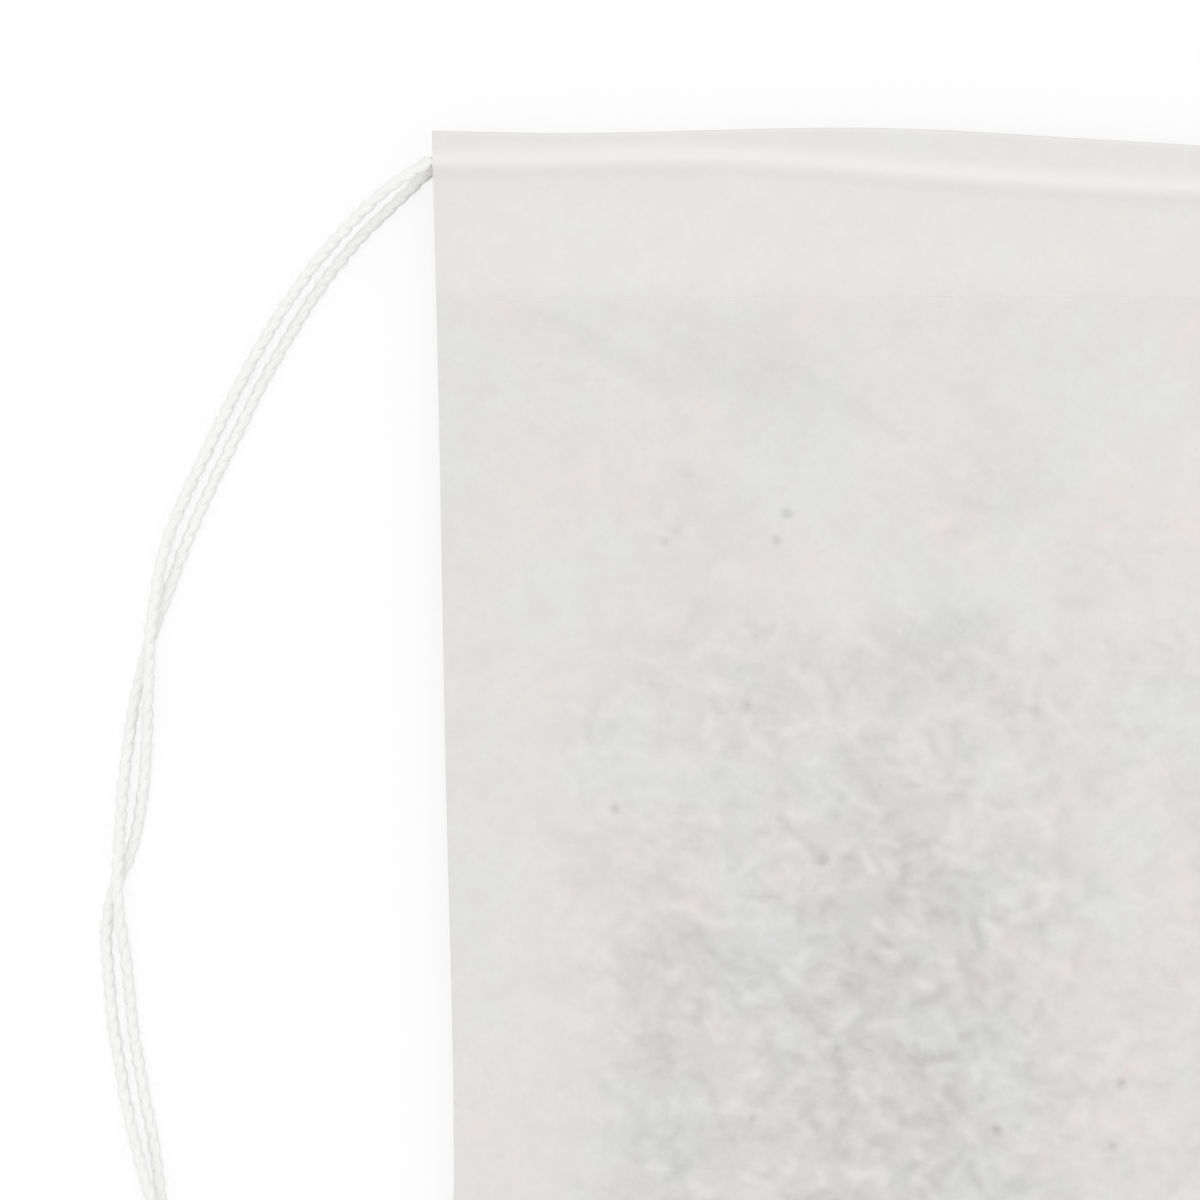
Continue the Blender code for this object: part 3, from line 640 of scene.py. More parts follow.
class Sheet:
    """Rows of points across the bag, in order along the paper, for one of its faces."""

    def __init__(self, columns, relief, shade):
        self.columns = columns
        self.relief = relief
        self.shade = shade
        self.points = []
        self.at = []
        self.shades = []
        self.plies = []

    def add(self, at, side, drop, height, lift_y=0.0, pressed=False, plies=1.0):
        """A row at a distance along the paper, by its drop and its height from the middle."""
        drop = np.zeros_like(self.columns) + drop
        x, y = place(self.columns, drop)
        shade = np.full_like(x, BASE_SHADE)
        if pressed:
            edge = ease((INSIDE_HALF_WIDTH - np.abs(self.columns)) / PRESS_BLEND)
            edge = edge * ease((HEM_LINE - 0.0001 - y) / 0.0015)
            height = height + edge * sample(self.relief, x, y)
            shade += (sample(self.shade, x, y) - BASE_SHADE) * ease((HEM_LINE - y) / FLAP_FADE)
        z = MIDDLE + side * height
        self.points.append(np.stack([x, y + lift_y, z], axis=1))
        self.at.append(at)
        self.shades.append(shade)
        self.plies.append(np.zeros_like(x) + plies)


def flap_depth(s, side):
    """From the top edge down to the folded-over hem's cut edge."""
    if side == BACK:
        return np.full_like(s, HEM_DEPTH)
    wave = HEM_WAVE * (np.sin(700 * s) + 0.6 * np.sin(1900 * s + 1.0))
    return top_edge(s) - HEM_LINE - wave


def over_thread(s, drop, side):
    """1 right over the thread in that hem, falling to 0 beside it."""
    beyond = drop - thread_drop(s, side)
    away = np.abs(beyond) / np.where(beyond < 0, RIDGE_REACH_UP, RIDGE_REACH_DOWN)
    return np.cos(np.pi / 2 * np.clip(away, 0, 1)) ** 2


def plies_over(s, drop, side):
    """How many layers of paper the outer face seems to have there, thread counted in, with a painted
    highlight along the ridge over the thread.
    """
    double = 1 + FLAP_PLIES * ease(0.5 + (flap_depth(s, side) - drop) / FLAP_FADE)
    return double + RIDGE_THREAD_AND_HIGHLIGHT * over_thread(s, drop, side)


def flap_outer(s, drop, side):
    """Height of the folded-over hem's outer face, with the ridge over the thread."""
    edge = FLAP_EDGE_SHARE + (1 - FLAP_EDGE_SHARE) * ease((flap_depth(s, side) - drop) / FLAP_EDGE)
    base = layer_gap(s, drop) + PAPER_THICKNESS * (1 + edge) + FLAP_GAP
    return base + (RIDGE_TOP - base) * over_thread(s, drop, side)


def flap_inner(s, drop, side):
    lowest = layer_gap(s, drop) + PAPER_THICKNESS + FLAP_GAP
    return np.maximum(flap_outer(s, drop, side) - PAPER_THICKNESS, lowest)


def panel_outer(s, drop, side):
    return layer_gap(s, drop) + bulge(s, drop, side) + PAPER_THICKNESS


def panel_inner(s, drop, side):
    """Inner face, held back from the outer one where that is pressed out of shape."""
    below_hem = ease((drop - HEM_DEPTH) / PRESS_BLEND)
    hold = INNER_HOLD * below_hem * ease((INSIDE_HALF_WIDTH - np.abs(s)) / PRESS_BLEND)
    return layer_gap(s, drop) + np.maximum(0, bulge(s, drop, side) - hold)


# Shares of the flap's depth at which it has rows: its cut edge, its flat part and the ridge
FLAP_ROWS = (*np.linspace(1.0, 0.95, 6), *np.linspace(0.92, 0.42, 7), *np.linspace(0.39, 0.032, 24))
FLAP_INNER_ROWS = (1.0, 0.97, *np.linspace(0.92, 0.42, 5), *np.linspace(0.39, 0.019, 17))


def hem_rows(s, side):
    """Rows of one hem, from the flap's cut edge to the body: face, distance, drop, height, reach."""
    depth = flap_depth(s, side)
    mean = float(np.mean(depth))
    fold = PAPER_THICKNESS
    rows = []
    step = 1 if side == FRONT else 2
    for share in FLAP_ROWS[::step]:
        drop = share * depth
        # The cut edge's row gets a painted highlight on top of its layers of paper.
        plies = plies_over(s, drop, side) + (EDGE_HIGHLIGHT if share == 1 else 0)
        rows.append(("lining", HEM_DEPTH - share * mean, drop, flap_outer(s, drop, side), 0.0, plies))
    outer, inner = flap_outer(s, 2 * fold, side), layer_gap(s, 2 * fold)
    for angle in HALF_TURN:
        height = (outer + inner) / 2 + (outer - inner) / 2 * math.cos(angle)
        at = HEM_DEPTH + fold * angle / 9
        # The fold's rows are whiter than double paper: double paper and a painted highlight along the top
        # edge.
        rows.append(("lining", at, fold, height, fold * math.sin(angle), 2.6))
    for drop in (0.0010, 0.0030, 0.0055, 0.0080, HEM_DEPTH):
        rows.append(("lining", HEM_DEPTH + drop, drop, panel_inner(s, drop, side), 0.0, 1.0))
    for share in FLAP_INNER_ROWS[::step]:
        height = flap_inner(s, share * depth, side)
        rows.append(("body", HEM_DEPTH - share * mean, share * depth, height, 0.0, 1.0))
    for share in (1.3 * fold / mean, 0.1, 0.25, 0.45, 0.7, 1.0):
        height = panel_outer(s, share * depth, side) - FLAP_GAP
        rows.append(("body", HEM_DEPTH + share * mean, share * depth, height, 0.0, 1.0))
    return rows


def add_body_rows(body, s):
    """The outward face below the hems: down the front, round the bottom fold, up the back."""
    first = flap_depth(s, FRONT) + EDGE_GAP
    last = BAG_HEIGHT - PAPER_THICKNESS
    turn_at = HEM_DEPTH + BAG_HEIGHT
    for share in (0.0, 0.005, 0.01, 0.018, *np.linspace(0.03, 1, 35)[:-1]):
        drop = first + share * (FINE_FROM - first)
        at = HEM_DEPTH + float(np.mean(drop))
        # The first row below the cut edge gets a painted highlight as well.
        plies = plies_over(s, drop, FRONT) + (EDGE_HIGHLIGHT if share == 0 else 0)
        body.add(at, FRONT, drop, panel_outer(s, drop, FRONT), pressed=True, plies=plies)
    for drop in np.linspace(FINE_FROM, last, FINE_ROWS):
        body.add(HEM_DEPTH + drop, FRONT, drop, panel_outer(s, drop, FRONT), pressed=True)
    outer = panel_outer(s, last, FRONT)
    for angle in HALF_TURN[1:-1]:
        reach = -PAPER_THICKNESS * math.sin(angle)
        at = turn_at + PAPER_THICKNESS * (2 * angle / math.pi - 1)
        body.add(at, FRONT, last, outer * math.cos(angle), lift_y=reach)
    for drop in np.linspace(last, HEM_DEPTH + EDGE_GAP, BACK_ROWS):
        body.add(2 * turn_at - HEM_DEPTH - drop, BACK, drop, panel_outer(s, drop, BACK))


def sheet_faces(columns, relief, shade):
    """The sheet's two faces: the one that turns outward on the body, and its lining."""
    faces = {"body": Sheet(columns, relief, shade), "lining": Sheet(columns, relief, shade)}
    turn_at = HEM_DEPTH + BAG_HEIGHT
    for face, at, drop, height, reach, plies in hem_rows(columns, FRONT):
        faces[face].add(at, FRONT, drop, height, lift_y=reach, plies=plies)
    add_body_rows(faces["body"], columns)
    inside_rows = np.linspace(HEM_DEPTH + 0.002, BAG_HEIGHT - BOTTOM_FOLD, 12)
    for drop in inside_rows:
        faces["lining"].add(HEM_DEPTH + drop, FRONT, drop, panel_inner(columns, drop, FRONT))
    for drop in inside_rows[::-1]:
        at = 2 * turn_at - HEM_DEPTH - drop
        faces["lining"].add(at, BACK, drop, panel_inner(columns, drop, BACK))
    for face, at, drop, height, reach, plies in hem_rows(columns, BACK)[::-1]:
        faces[face].add(2 * turn_at - at, BACK, drop, height, lift_y=reach, plies=plies)
    return faces["body"], faces["lining"]


def quads(*corners):
    """Faces with their four corners' point numbers in four grids of one shape."""
    return np.stack([c.ravel() for c in corners], axis=1).tolist()


def grid_faces(first, rows, columns):
    """Quads of a grid whose points are numbered row by row from the first."""
    index = first + np.arange(rows * columns).reshape(rows, columns)
    return quads(index[:-1, :-1], index[1:, :-1], index[1:, 1:], index[:-1, 1:])


def tube_faces(first, rings, sides):
    """Quads round a tube whose rings are numbered from the first point, and its two ends."""
    index = first + np.arange(rings * sides).reshape(rings, sides)
    over = np.roll(index, -1, axis=1)
    around = quads(index[:-1], over[:-1], over[1:], index[1:])
    return around + [index[0, ::-1].tolist(), index[-1].tolist()]


def bridge(line_a, at_a, line_b, at_b):
    """Triangles between two edges whose points lie at those distances along them."""
    faces = []
    i, j = 0, 0
    while i < len(line_a) - 1 or j < len(line_b) - 1:
        next_a = at_a[i + 1] if i < len(line_a) - 1 else math.inf
        next_b = at_b[j + 1] if j < len(line_b) - 1 else math.inf
        if next_a <= next_b:
            faces.append((line_a[i], line_a[i + 1], line_b[j]))
            i += 1
        else:
            faces.append((line_a[i], line_b[j + 1], line_b[j]))
            j += 1
    return faces


def facing_out(data):
    mesh = bmesh.new()
    mesh.from_mesh(data)
    bmesh.ops.recalc_face_normals(mesh, faces=mesh.faces)
    mesh.to_mesh(data)
    mesh.free()


def placed(name, data):
    """The data as a new object in the scene."""
    thing = bpy.data.objects.new(name, data)
    bpy.context.scene.collection.objects.link(thing)
    return thing


def add_piece(name, points, faces, material, sharp_angle=None):
    data = bpy.data.meshes.new(name)
    data.from_pydata([tuple(p) for p in points], [], faces)
    facing_out(data)
    data.shade_smooth()
    if sharp_angle:
        data.set_sharp_from_angle(angle=math.radians(sharp_angle))
    data.materials.append(material)
    return placed(name, data)


def add_values(piece, name, values):
    attribute = piece.data.attributes.new(name, "FLOAT", "POINT")
    attribute.data.foreach_set("value", np.asarray(values, np.float32))


def build_paper(material):
    columns = column_places()
    relief, shade = front_fields()
    body, lining = sheet_faces(columns, relief, shade)
    count = len(columns)
    second = len(body.points) * count
    faces = grid_faces(0, len(body.points), count)
    faces += grid_faces(second, len(lining.points), count)
    for edge in (0, count - 1):
        line_a = [k * count + edge for k in range(len(body.points))]
        line_b = [second + k * count + edge for k in range(len(lining.points))]
        faces += bridge(line_a, body.at, line_b, lining.at)
    rows = ((0, second), (second - count, second + (len(lining.points) - 1) * count))
    for a, b in rows:
        faces += [(a + k, a + k + 1, b + k + 1, b + k) for k in range(count - 1)]
    points = np.concatenate([*body.points, *lining.points])
    paper = add_piece("bag_paper_sheet", points, faces, material, sharp_angle=50)
    # 'leaf' carries the leaf seen through the paper, with painted shade in creases and painted highlights
    # and light.
    add_values(paper, "leaf", np.concatenate([*body.shades, *lining.shades]))
    # 'plies' counts layers of paper and the thread beneath, and carries painted highlights on the ridge,
    # the cut edge and the top fold.
    add_values(paper, "plies", np.concatenate([*body.plies, *lining.plies]))
    return paper


# The drawstring: one thread, from one cut end through the knot and the hems to the other

def hem_line(side):
    """The thread in one hem, already bending down where it leaves on the left."""
    even = np.linspace(-HALF_WIDTH, HALF_WIDTH, 27)
    s = np.array([even[0], even[0] + EXIT_BEND, *even[1:]])
    x, y = place(s, thread_drop(s, side))
    y[0] -= EXIT_DROP / 2
    return np.stack([x, y, np.full_like(x, MIDDLE + side * HEM_THREAD_HEIGHT)], axis=1)


def hem_loop_line():
    """The thread inside both hems and round the right edge, from the front exit to the rear."""
    front, back = hem_line(FRONT), hem_line(BACK)
    centre = (front[-1] + back[-1]) / 2 + np.array((CHANNEL_RADIUS, 0, 0))
    across = (front[-1] - back[-1]) / 2
    reach = np.linalg.norm(across)
    out = np.array((reach, 0, 0))
    turn = [centre + across * math.cos(a) + out * math.sin(a) for a in HALF_TURN]
    return np.array([exit_point(FRONT), *front, *turn, *back[::-1], exit_point(BACK)])


def exit_point(side):
    x, y = place(-HALF_WIDTH, thread_drop(-HALF_WIDTH, side))
    return np.array((x - EXIT_REACH, float(y) - EXIT_DROP, MIDDLE + side * HEM_THREAD_HEIGHT))


def run_points(side):
    """Route points of one free run, from its exit to the knot."""
    start = ((exit_point(FRONT) + exit_point(BACK)) / 2)[:2]
    middles = [start + np.array(row[:2]) for row in PAIR_ROUTE]
    ahead = [*middles[1:], 2 * middles[-1] - middles[-2]]
    behind = [start, *middles[:-1]]
    leaving = np.array(EXIT_HEADING) * THREAD_DIAMETER
    points = [exit_point(side), exit_point(side) + leaving]
    for row, middle, a, b in zip(PAIR_ROUTE, middles, behind, ahead):
        heading = (b - a) / np.linalg.norm(b - a)
        left = np.array((-heading[1], heading[0]))
        at = middle - side * left * row[2] * THREAD_PITCH / 2
        lift = row[3] if side == FRONT else row[4]
        points.append(np.array((*at, THREAD_RADIUS + lift * THREAD_PITCH)))
    return points


def knot_frame():
    """Centre of the knot, the direction in which the runs enter it, and sideways."""
    front, back = run_points(FRONT), run_points(BACK)
    end = (front[-1] + back[-1]) / 2
    heading = end - (front[-2] + back[-2]) / 2
    heading[2] = 0
    heading /= np.linalg.norm(heading)
    centre = end + heading * (THREAD_CLEARANCE + KNOT_LENGTH / 2)
    centre[2] = KNOT_THICKNESS / 2
    return centre, heading, np.array((-heading[1], heading[0], 0))


def knot_points(side):
    """One strand of the pair through the knot and on to its cut end on the table."""
    centre, heading, sideways = knot_frame()
    route = np.array(KNOT_ROUTE)
    tangent = np.gradient(route, axis=0)
    radial = route * (0, 1, 1)
    beside = np.cross(tangent, radial)
    beside /= np.linalg.norm(beside, axis=1)[:, None]
    flips = np.cumprod(np.where((beside[1:] * beside[:-1]).sum(axis=1) < 0, -1, 1))
    beside[1:] *= flips[:, None]
    local = route + side * KNOT_PAIR * beside
    up = np.array((0, 0, 1.0))
    points = [centre + p[0] * heading + p[1] * sideways + p[2] * up for p in local]
    spread = side if beside[-1][1] > 0 else -side
    for share in (0.12, 0.3, 0.55, 0.8, 1.0):
        point = centre + heading * (KNOT_LENGTH / 2 + TAIL_LENGTH * (share - 0.06))
        point = point + sideways * spread * (0.0003 + TAIL_LENGTH * TAIL_SPREAD * share**1.5)
        sink = ease(2.2 * share)
        point[2] = THREAD_RADIUS + (centre[2] + 0.0001 - THREAD_RADIUS) * (1 - sink)
        points.append(point)
    return points


def drawstring_lines():
    """The stretches of the thread in order, each a list of close points."""
    parts = {}
    for side, name in ((FRONT, "front"), (BACK, "back")):
        run = run_points(side)
        whole = smooth_line([*run, *knot_points(side)], RING_STEP)
        whole[:, 2] = np.maximum(whole[:, 2], THREAD_RADIUS)
        nearest = np.argmin(np.linalg.norm(whole - run[-1], axis=1))
        parts[name + "_run"] = whole[: nearest + 1]
        parts[name + "_knot"] = whole[nearest:]
    parts["loop"] = even_line(hem_loop_line(), RING_STEP)
    return parts


def carried_frames(line):
    """A direction square to the line at each point, carried along it without twist."""
    tangent = np.gradient(line, axis=0)
    tangent /= np.linalg.norm(tangent, axis=1)[:, None]
    normal = np.cross(tangent[0], (0, 0, 1.0))
    normals = []
    for t in tangent:
        normal = normal - t * np.dot(normal, t)
        normal = normal / np.linalg.norm(normal)
        normals.append(normal)
    normals = np.array(normals)
    return normals, np.cross(tangent, normals)


def tube_part(line, radius, sides, first):
    """Points and faces of a round tube with filled ends; radius is one value or per point."""
    normal, side = carried_frames(line)
    turn = 2 * np.pi * np.arange(sides)[None, :, None] / sides
    around = normal[:, None] * np.cos(turn) + side[:, None] * np.sin(turn)
    points = line[:, None] + around * radius
    return points.reshape(-1, 3), tube_faces(first, len(line), sides)


def strand_waves(along, rng):
    """Slow unevenness of a spun strand's thickness, about 1."""
    waves = np.ones_like(along)
    for length in STRAND_WAVES:
        waves += STRAND_WAVE_SHARE * np.sin(2 * np.pi * (along / length + rng.uniform(0, 1)))
    return waves


def build_thread(stretches, material):
    """Pieces of the twisted thread. Each stretch is a part of one continuous line."""
    rng = np.random.RandomState(5)
    whole = np.concatenate([line for _, line in stretches])
    keep = np.concatenate([[True], np.linalg.norm(np.diff(whole, axis=0), axis=1) > 1e-7])
    normal, side = carried_frames(whole[keep])
    line = whole[keep]
    along = along_line(line)
    drift = TWIST_DRIFT * np.sin(2 * np.pi * along / DRIFT_LENGTH)
    angle = 2 * np.pi * along / TWIST_LENGTH + drift
    plies = []
    for k in (0, 1):
        turned = angle + np.pi * k
        out = normal * np.cos(turned)[:, None] + side * np.sin(turned)[:, None]
        plies.append((line + PLY_OFFSET * out, PLY_RADIUS * strand_waves(along, rng)))
    index = np.cumsum(keep) - 1
    made = {}
    start = 0
    for name, part in stretches:
        end = start + len(part) - 1
        piece = slice(index[start], index[end] + 1)
        made.setdefault(name, []).append([(c[piece], r[piece]) for c, r in plies])
        start = end + 1
    return {name: thread_piece(name, parts, material) for name, parts in made.items()}


def thread_piece(name, parts, material):
    points, faces, coordinates = [], [], []
    for plies in parts:
        for k, (centres, radii) in enumerate(plies):
            made, around = tube_part(centres, radii[:, None, None], PLY_SIDES, len(points))
            made[:, 2] = np.maximum(made[:, 2], PLY_LOWEST)
            points.extend(made)
            faces += around
            coordinates.append(fibre_coordinates(centres, k))
    piece = add_piece(name, points, faces, material, sharp_angle=60)
    attribute = piece.data.attributes.new("fibre", "FLOAT_VECTOR", "POINT")
    attribute.data.foreach_set("vector", np.concatenate(coordinates).astype(np.float32).ravel())
    return piece


def fibre_coordinates(centres, k):
    """Coordinates that run along a ply's fibres, for its streaks."""
    along = along_line(centres)[:, None]
    turn = 2 * np.pi * np.arange(PLY_SIDES)[None, :] / PLY_SIDES + along / FIBRE_TURN
    spread = 1.7
    x = np.broadcast_to(along / FIBRE_LENGTH + 40 * k, turn.shape)
    return np.stack([x, spread * np.cos(turn), spread * np.sin(turn)], axis=2).reshape(-1, 3)


def fuzz_piece(name, lines, ends, material, seed):
    """Loose fibres that stand off the lines, and that many more at each line's end."""
    rng = np.random.RandomState(seed)
    share = np.linspace(0, 1, 5)[:, None]
    points, faces = [], []

    def add_hair(hair, radius):
        hair[:, 2] = np.maximum(hair[:, 2], HAIR_LOWEST)
        made, around = tube_part(hair, radius, 3, len(points))
        points.extend(made)
        faces.extend(around)

    for line in lines:
        normal, side = carried_frames(line)
        tangent = np.cross(normal, side)
        for _ in range(int(along_line(line)[-1] * HAIRS_PER_METRE)):
            k = rng.randint(0, len(line))
            turn = rng.uniform(0, 2 * np.pi)
            out = normal[k] * math.cos(turn) + side[k] * math.sin(turn)
            lean = tangent[k] * rng.choice((-1, 1)) * rng.uniform(*HAIR_LEANS)
            reach = rng.uniform(*HAIR_REACHES)
            curl = rng.normal(0, 0.5, 3)
            root = line[k] + out * THREAD_RADIUS * HAIR_ROOT
            straight = share * reach * (HAIR_RISE * out + lean)
            hair = root + straight + share**2 * reach * HAIR_CURL * curl
            add_hair(hair, HAIR_RADIUS)
        ahead = (line[-1] - line[-4]) / np.linalg.norm(line[-1] - line[-4])
        for _ in range(ends):
            out = rng.normal(0, 1, 3)
            root = line[-1] - ahead * FRAY_DEPTH + out * FRAY_WIDTH
            hair = root + share * rng.uniform(*FRAY_REACHES) * (ahead + FRAY_SPLAY * out)
            add_hair(hair, FRAY_RADIUS)
    return add_piece(name, points, faces, material)


# The filling: a heap of loose leaf

HEAP_COLUMNS, HEAP_ROWS = 70, 80
HEAP_LEAVES = 3600
UPPER_SHARE = 0.75  # of the leaves that lie on the heap's upper face
LEAF_SHIFT = 0.0002
LEAF_LENGTH, LEAF_SPREAD = 0.0012, 0.35
LEAF_WIDTHS = (0.22, 0.5)  # in lengths of the leaf
LEAF_THICKNESSES = (0.00008, 0.0002)
LEAF_TILT = 0.3
LEAF_CURLS = (-0.5, 0.9)

# Sections of a leaf: place along it and width. Corners of a section: across and up
LEAF_SECTIONS = ((-0.5, 0.25), (-0.2, 1.0), (0.15, 0.9), (0.5, 0.2))
LEAF_CORNERS = ((-0.5, 0.1), (0.0, 0.5), (0.5, 0.1), (0.0, -0.5))


def tea_top(s):
    """Uneven upper edge of the heap, above the bottom fold."""
    wave = TEA_TOP_WAVE * (1 + np.sin(260 * s + 0.6))
    return TEA_TOP - wave - TEA_TOP_ROUND * (s / TEA_HALF_WIDTH) ** 4


def tea_surfaces(columns, rows):
    """Grids of the heap's upper and lower face, with its thin upper edge."""
    s = TEA_HALF_WIDTH * np.sin(np.pi / 2 * np.linspace(-1, 1, columns))[:, None]
    low = TEA_BOTTOM + TEA_BOTTOM_ROUND * (s / TEA_HALF_WIDTH) ** 4
    up = low + (tea_top(s) - low) * np.linspace(0, 1, rows)[None, :]
    s = np.broadcast_to(s, up.shape)
    drop = BAG_HEIGHT - up
    x, y = place(s, drop)
    base = MIDDLE - MOUTH_GAP / 2 - bulge(s, drop, BACK) + TEA_CLEARANCE
    top = MIDDLE + MOUTH_GAP / 2 + bulge(s, drop, FRONT) - TEA_CLEARANCE
    thin = TEA_EDGE_SHARE + (1 - TEA_EDGE_SHARE) * ease((tea_top(s) - up) / TEA_EDGE)
    upper = base + (top - base) * thin
    return np.stack([x, y, upper], axis=2), np.stack([x, y, base], axis=2)


def kept_inside(points):
    """The same points, moved up or down to lie clear of the paper."""
    x, y = points[:, 0], points[:, 1]
    up = (y - BOTTOM) / (top_edge(x) - HEM_DEPTH - BOTTOM) * BODY_HEIGHT
    pull = SIDE_PULL * curve_values(PULL, up / BAG_HEIGHT)
    s, drop = x / (1 - pull / HALF_WIDTH), BAG_HEIGHT - up
    clear = 0.5 * TEA_CLEARANCE + 0.0001
    low = MIDDLE - layer_gap(s, drop) - bulge(s, drop, BACK) + clear
    high = MIDDLE + layer_gap(s, drop) + bulge(s, drop, FRONT) - clear
    return np.stack([x, y, np.clip(points[:, 2], low, np.maximum(low, high))], axis=1)


def leaf_part(centre, rng, first):
    """One curled fragment of leaf: a thin bent flake or a rolled needle."""
    length = LEAF_LENGTH * math.exp(rng.normal(0, LEAF_SPREAD))
    width = length * rng.uniform(*LEAF_WIDTHS)
    thickness = rng.uniform(*LEAF_THICKNESSES)
    angle = rng.uniform(0, 2 * np.pi)
    tilt = rng.normal(0, LEAF_TILT)
    flat = math.cos(tilt)
    ahead = np.array((math.cos(angle) * flat, math.sin(angle) * flat, math.sin(tilt)))
    beside = np.array((-math.sin(angle), math.cos(angle), rng.normal(0, LEAF_TILT)))
    up = np.cross(ahead, beside)
    curl = rng.uniform(*LEAF_CURLS)
    points = []
    for share, wide in LEAF_SECTIONS:
        wide = wide * rng.uniform(0.7, 1.15)
        spine = centre + ahead * share * length + up * curl * length * share * share
        for across, level in LEAF_CORNERS:
            points.append(spine + beside * across * width * wide + up * level * thickness)
    return points, tube_faces(first, len(LEAF_SECTIONS), len(LEAF_CORNERS))


def build_tea(material):
    """A solid bed that carries the leaf, and the separate leaves on its upper and lower side."""
    rng = np.random.RandomState(23)
    upper, lower = tea_surfaces(HEAP_COLUMNS, HEAP_ROWS)
    shrink = np.minimum(0.35 * (upper[..., 2] - lower[..., 2]), LEAF_SINK)
    bed = [np.copy(upper), np.copy(lower)]
    bed[0][..., 2] -= shrink * (1 + 0.5 * rng.uniform(-1, 1, shrink.shape))
    bed[1][..., 2] += 0.3 * shrink
    columns, rows = shrink.shape
    faces = grid_faces(0, columns, rows) + grid_faces(columns * rows, columns, rows)
    index = np.arange(2 * columns * rows).reshape(2, columns, rows)
    for edges in (index[:, 0], index[:, -1], index[:, :, 0], index[:, :, -1]):
        top, under = edges
        faces += [(top[k], top[k + 1], under[k + 1], under[k]) for k in range(len(top) - 1)]
    points = [p for face in bed for p in face.reshape(-1, 3)]
    for _ in range(HEAP_LEAVES):
        i, j = rng.randint(2, columns - 2), rng.randint(2, rows - 2)
        face, sink = (upper, -1) if rng.uniform() < UPPER_SHARE else (lower, 1)
        shift = rng.uniform(-LEAF_SHIFT, LEAF_SHIFT, 2)
        centre = face[i, j] + np.array((*shift, sink * LEAF_SINK))
        made, around = leaf_part(centre, rng, len(points))
        points += made
        faces += around
    points = np.clip(np.array(points), *np.array(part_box("tea_fill")))
    return add_piece("tea_leaf_heap", kept_inside(points), faces, material, sharp_angle=35)


# Materials

PAPER = (0.799, 0.786, 0.765)
PAPER_PINK = (0.811, 0.766, 0.740)
PAPER_GREEN = (0.790, 0.790, 0.756)
PAPER_COOL = (0.783, 0.785, 0.778)
PAPER_GREY = (0.758, 0.749, 0.735)
# Whiter paper for double layers and the thread beneath, and for the painted highlights.
PAPER_DOUBLE_AND_HIGHLIGHT = (0.900, 0.887, 0.866)
PAPER_FIBRE = (0.87, 0.86, 0.84)
LEAF_SHADE = (0.223, 0.242, 0.259)
LEAF_MARK = (0.252, 0.241, 0.230)
COTTON = (0.925, 0.923, 0.916)
COTTON_STREAK = (0.975, 0.973, 0.967)
TEA_DARK = (0.035, 0.022, 0.013)
TEA_BROWN = (0.13, 0.078, 0.040)
TEA_PALE = (0.16, 0.12, 0.06)
FLOOR_TONE = (0.86, 0.86, 0.86)
WHITE = (1, 1, 1)

# The paper's fibres in three directions: angle in degrees, and the stretch of their noise
FIBRES = (
    (24, (0.0016, 0.00028, 0.0012)),
    (-38, (0.0014, 0.00024, 0.0012)),
    (81, (0.0015, 0.00026, 0.0012)),
)

# Noise scale, tint, its strongest share, and the noise values at which it starts and is full
TINT_PATCHES = (
    (120, PAPER_PINK, 1.0, 0.48, 0.55),
    (170, PAPER_GREEN, 0.7, 0.50, 0.58),
    (150, PAPER_COOL, 0.9, 0.52, 0.58),
    (1300, PAPER_GREY, 0.55, 0.46, 0.60),
)


class Graph:
    """The nodes of a material or of the world, with short ways to add more of them."""

    def __init__(self, owner):
        owner.use_nodes = True
        self.nodes = owner.node_tree.nodes
        self.links = owner.node_tree.links

    def fill(self, node, inputs, output=0):
        """Sets the node's inputs to values or to other nodes' outputs, and gives its output."""
        for key, value in inputs.items():
            socket = node.inputs[key]
            if isinstance(value, bpy.types.NodeSocket):
                self.links.new(value, socket)
            else:
                socket.default_value = (*value, 1.0) if socket.type == "RGBA" else value
        return node.outputs[output]

    def add(self, kind, inputs, output=0):
        return self.fill(self.nodes.new(kind), inputs, output)

    def mixed(self, share, a, b):
        node = self.nodes.new("ShaderNodeMix")
        node.data_type = "RGBA"
        return self.fill(node, {"Factor": share, 6: a, 7: b}, 2)

    def calculated(self, operation, a, b):
        node = self.nodes.new("ShaderNodeMath")
        node.operation = operation
        return self.fill(node, {0: a, 1: b})

    def ranged(self, value, low, high, to_low, to_high):
        """The value, carried over from low and high to the other two numbers."""
        inputs = {"Value": value, "From Min": low, "From Max": high, "To Min": to_low, "To Max": to_high}
        return self.add("ShaderNodeMapRange", inputs)

    def noise(self, vector, scale, detail=3.0, roughness=0.6, distortion=0.0):
        inputs = {"Vector": vector, "Scale": scale, "Detail": detail, "Roughness": roughness}
        return self.add("ShaderNodeTexNoise", {**inputs, "Distortion": distortion}, "Fac")

    def stretched(self, vector, angle, scale):
        node = self.nodes.new("ShaderNodeMapping")
        node.vector_type = "TEXTURE"
        return self.fill(node, {"Vector": vector, "Rotation": (0, 0, math.radians(angle)), "Scale": scale})

    def attribute(self, name, output="Fac"):
        node = self.nodes.new("ShaderNodeAttribute")
        node.attribute_name = name
        return node.outputs[output]

    def bump(self, height, distance, strength, **base):
        """A normal that follows the height; Normal=... lays it over another one."""
        inputs = {"Height": height, "Distance": distance, "Strength": strength, **base}
        return self.add("ShaderNodeBump", inputs)

    def object_place(self):
        """Coordinates in the object's own metres."""
        return self.nodes.new("ShaderNodeTexCoord").outputs["Object"]

    def finish(self, colour, roughness, normal, gloss=0.5):
        """Gives the material's shader its colour, roughness, normal and specular level."""
        inputs = {"Base Color": colour, "Roughness": roughness, "Normal": normal}
        self.fill(self.nodes["Principled BSDF"], {**inputs, "Specular IOR Level": gloss})


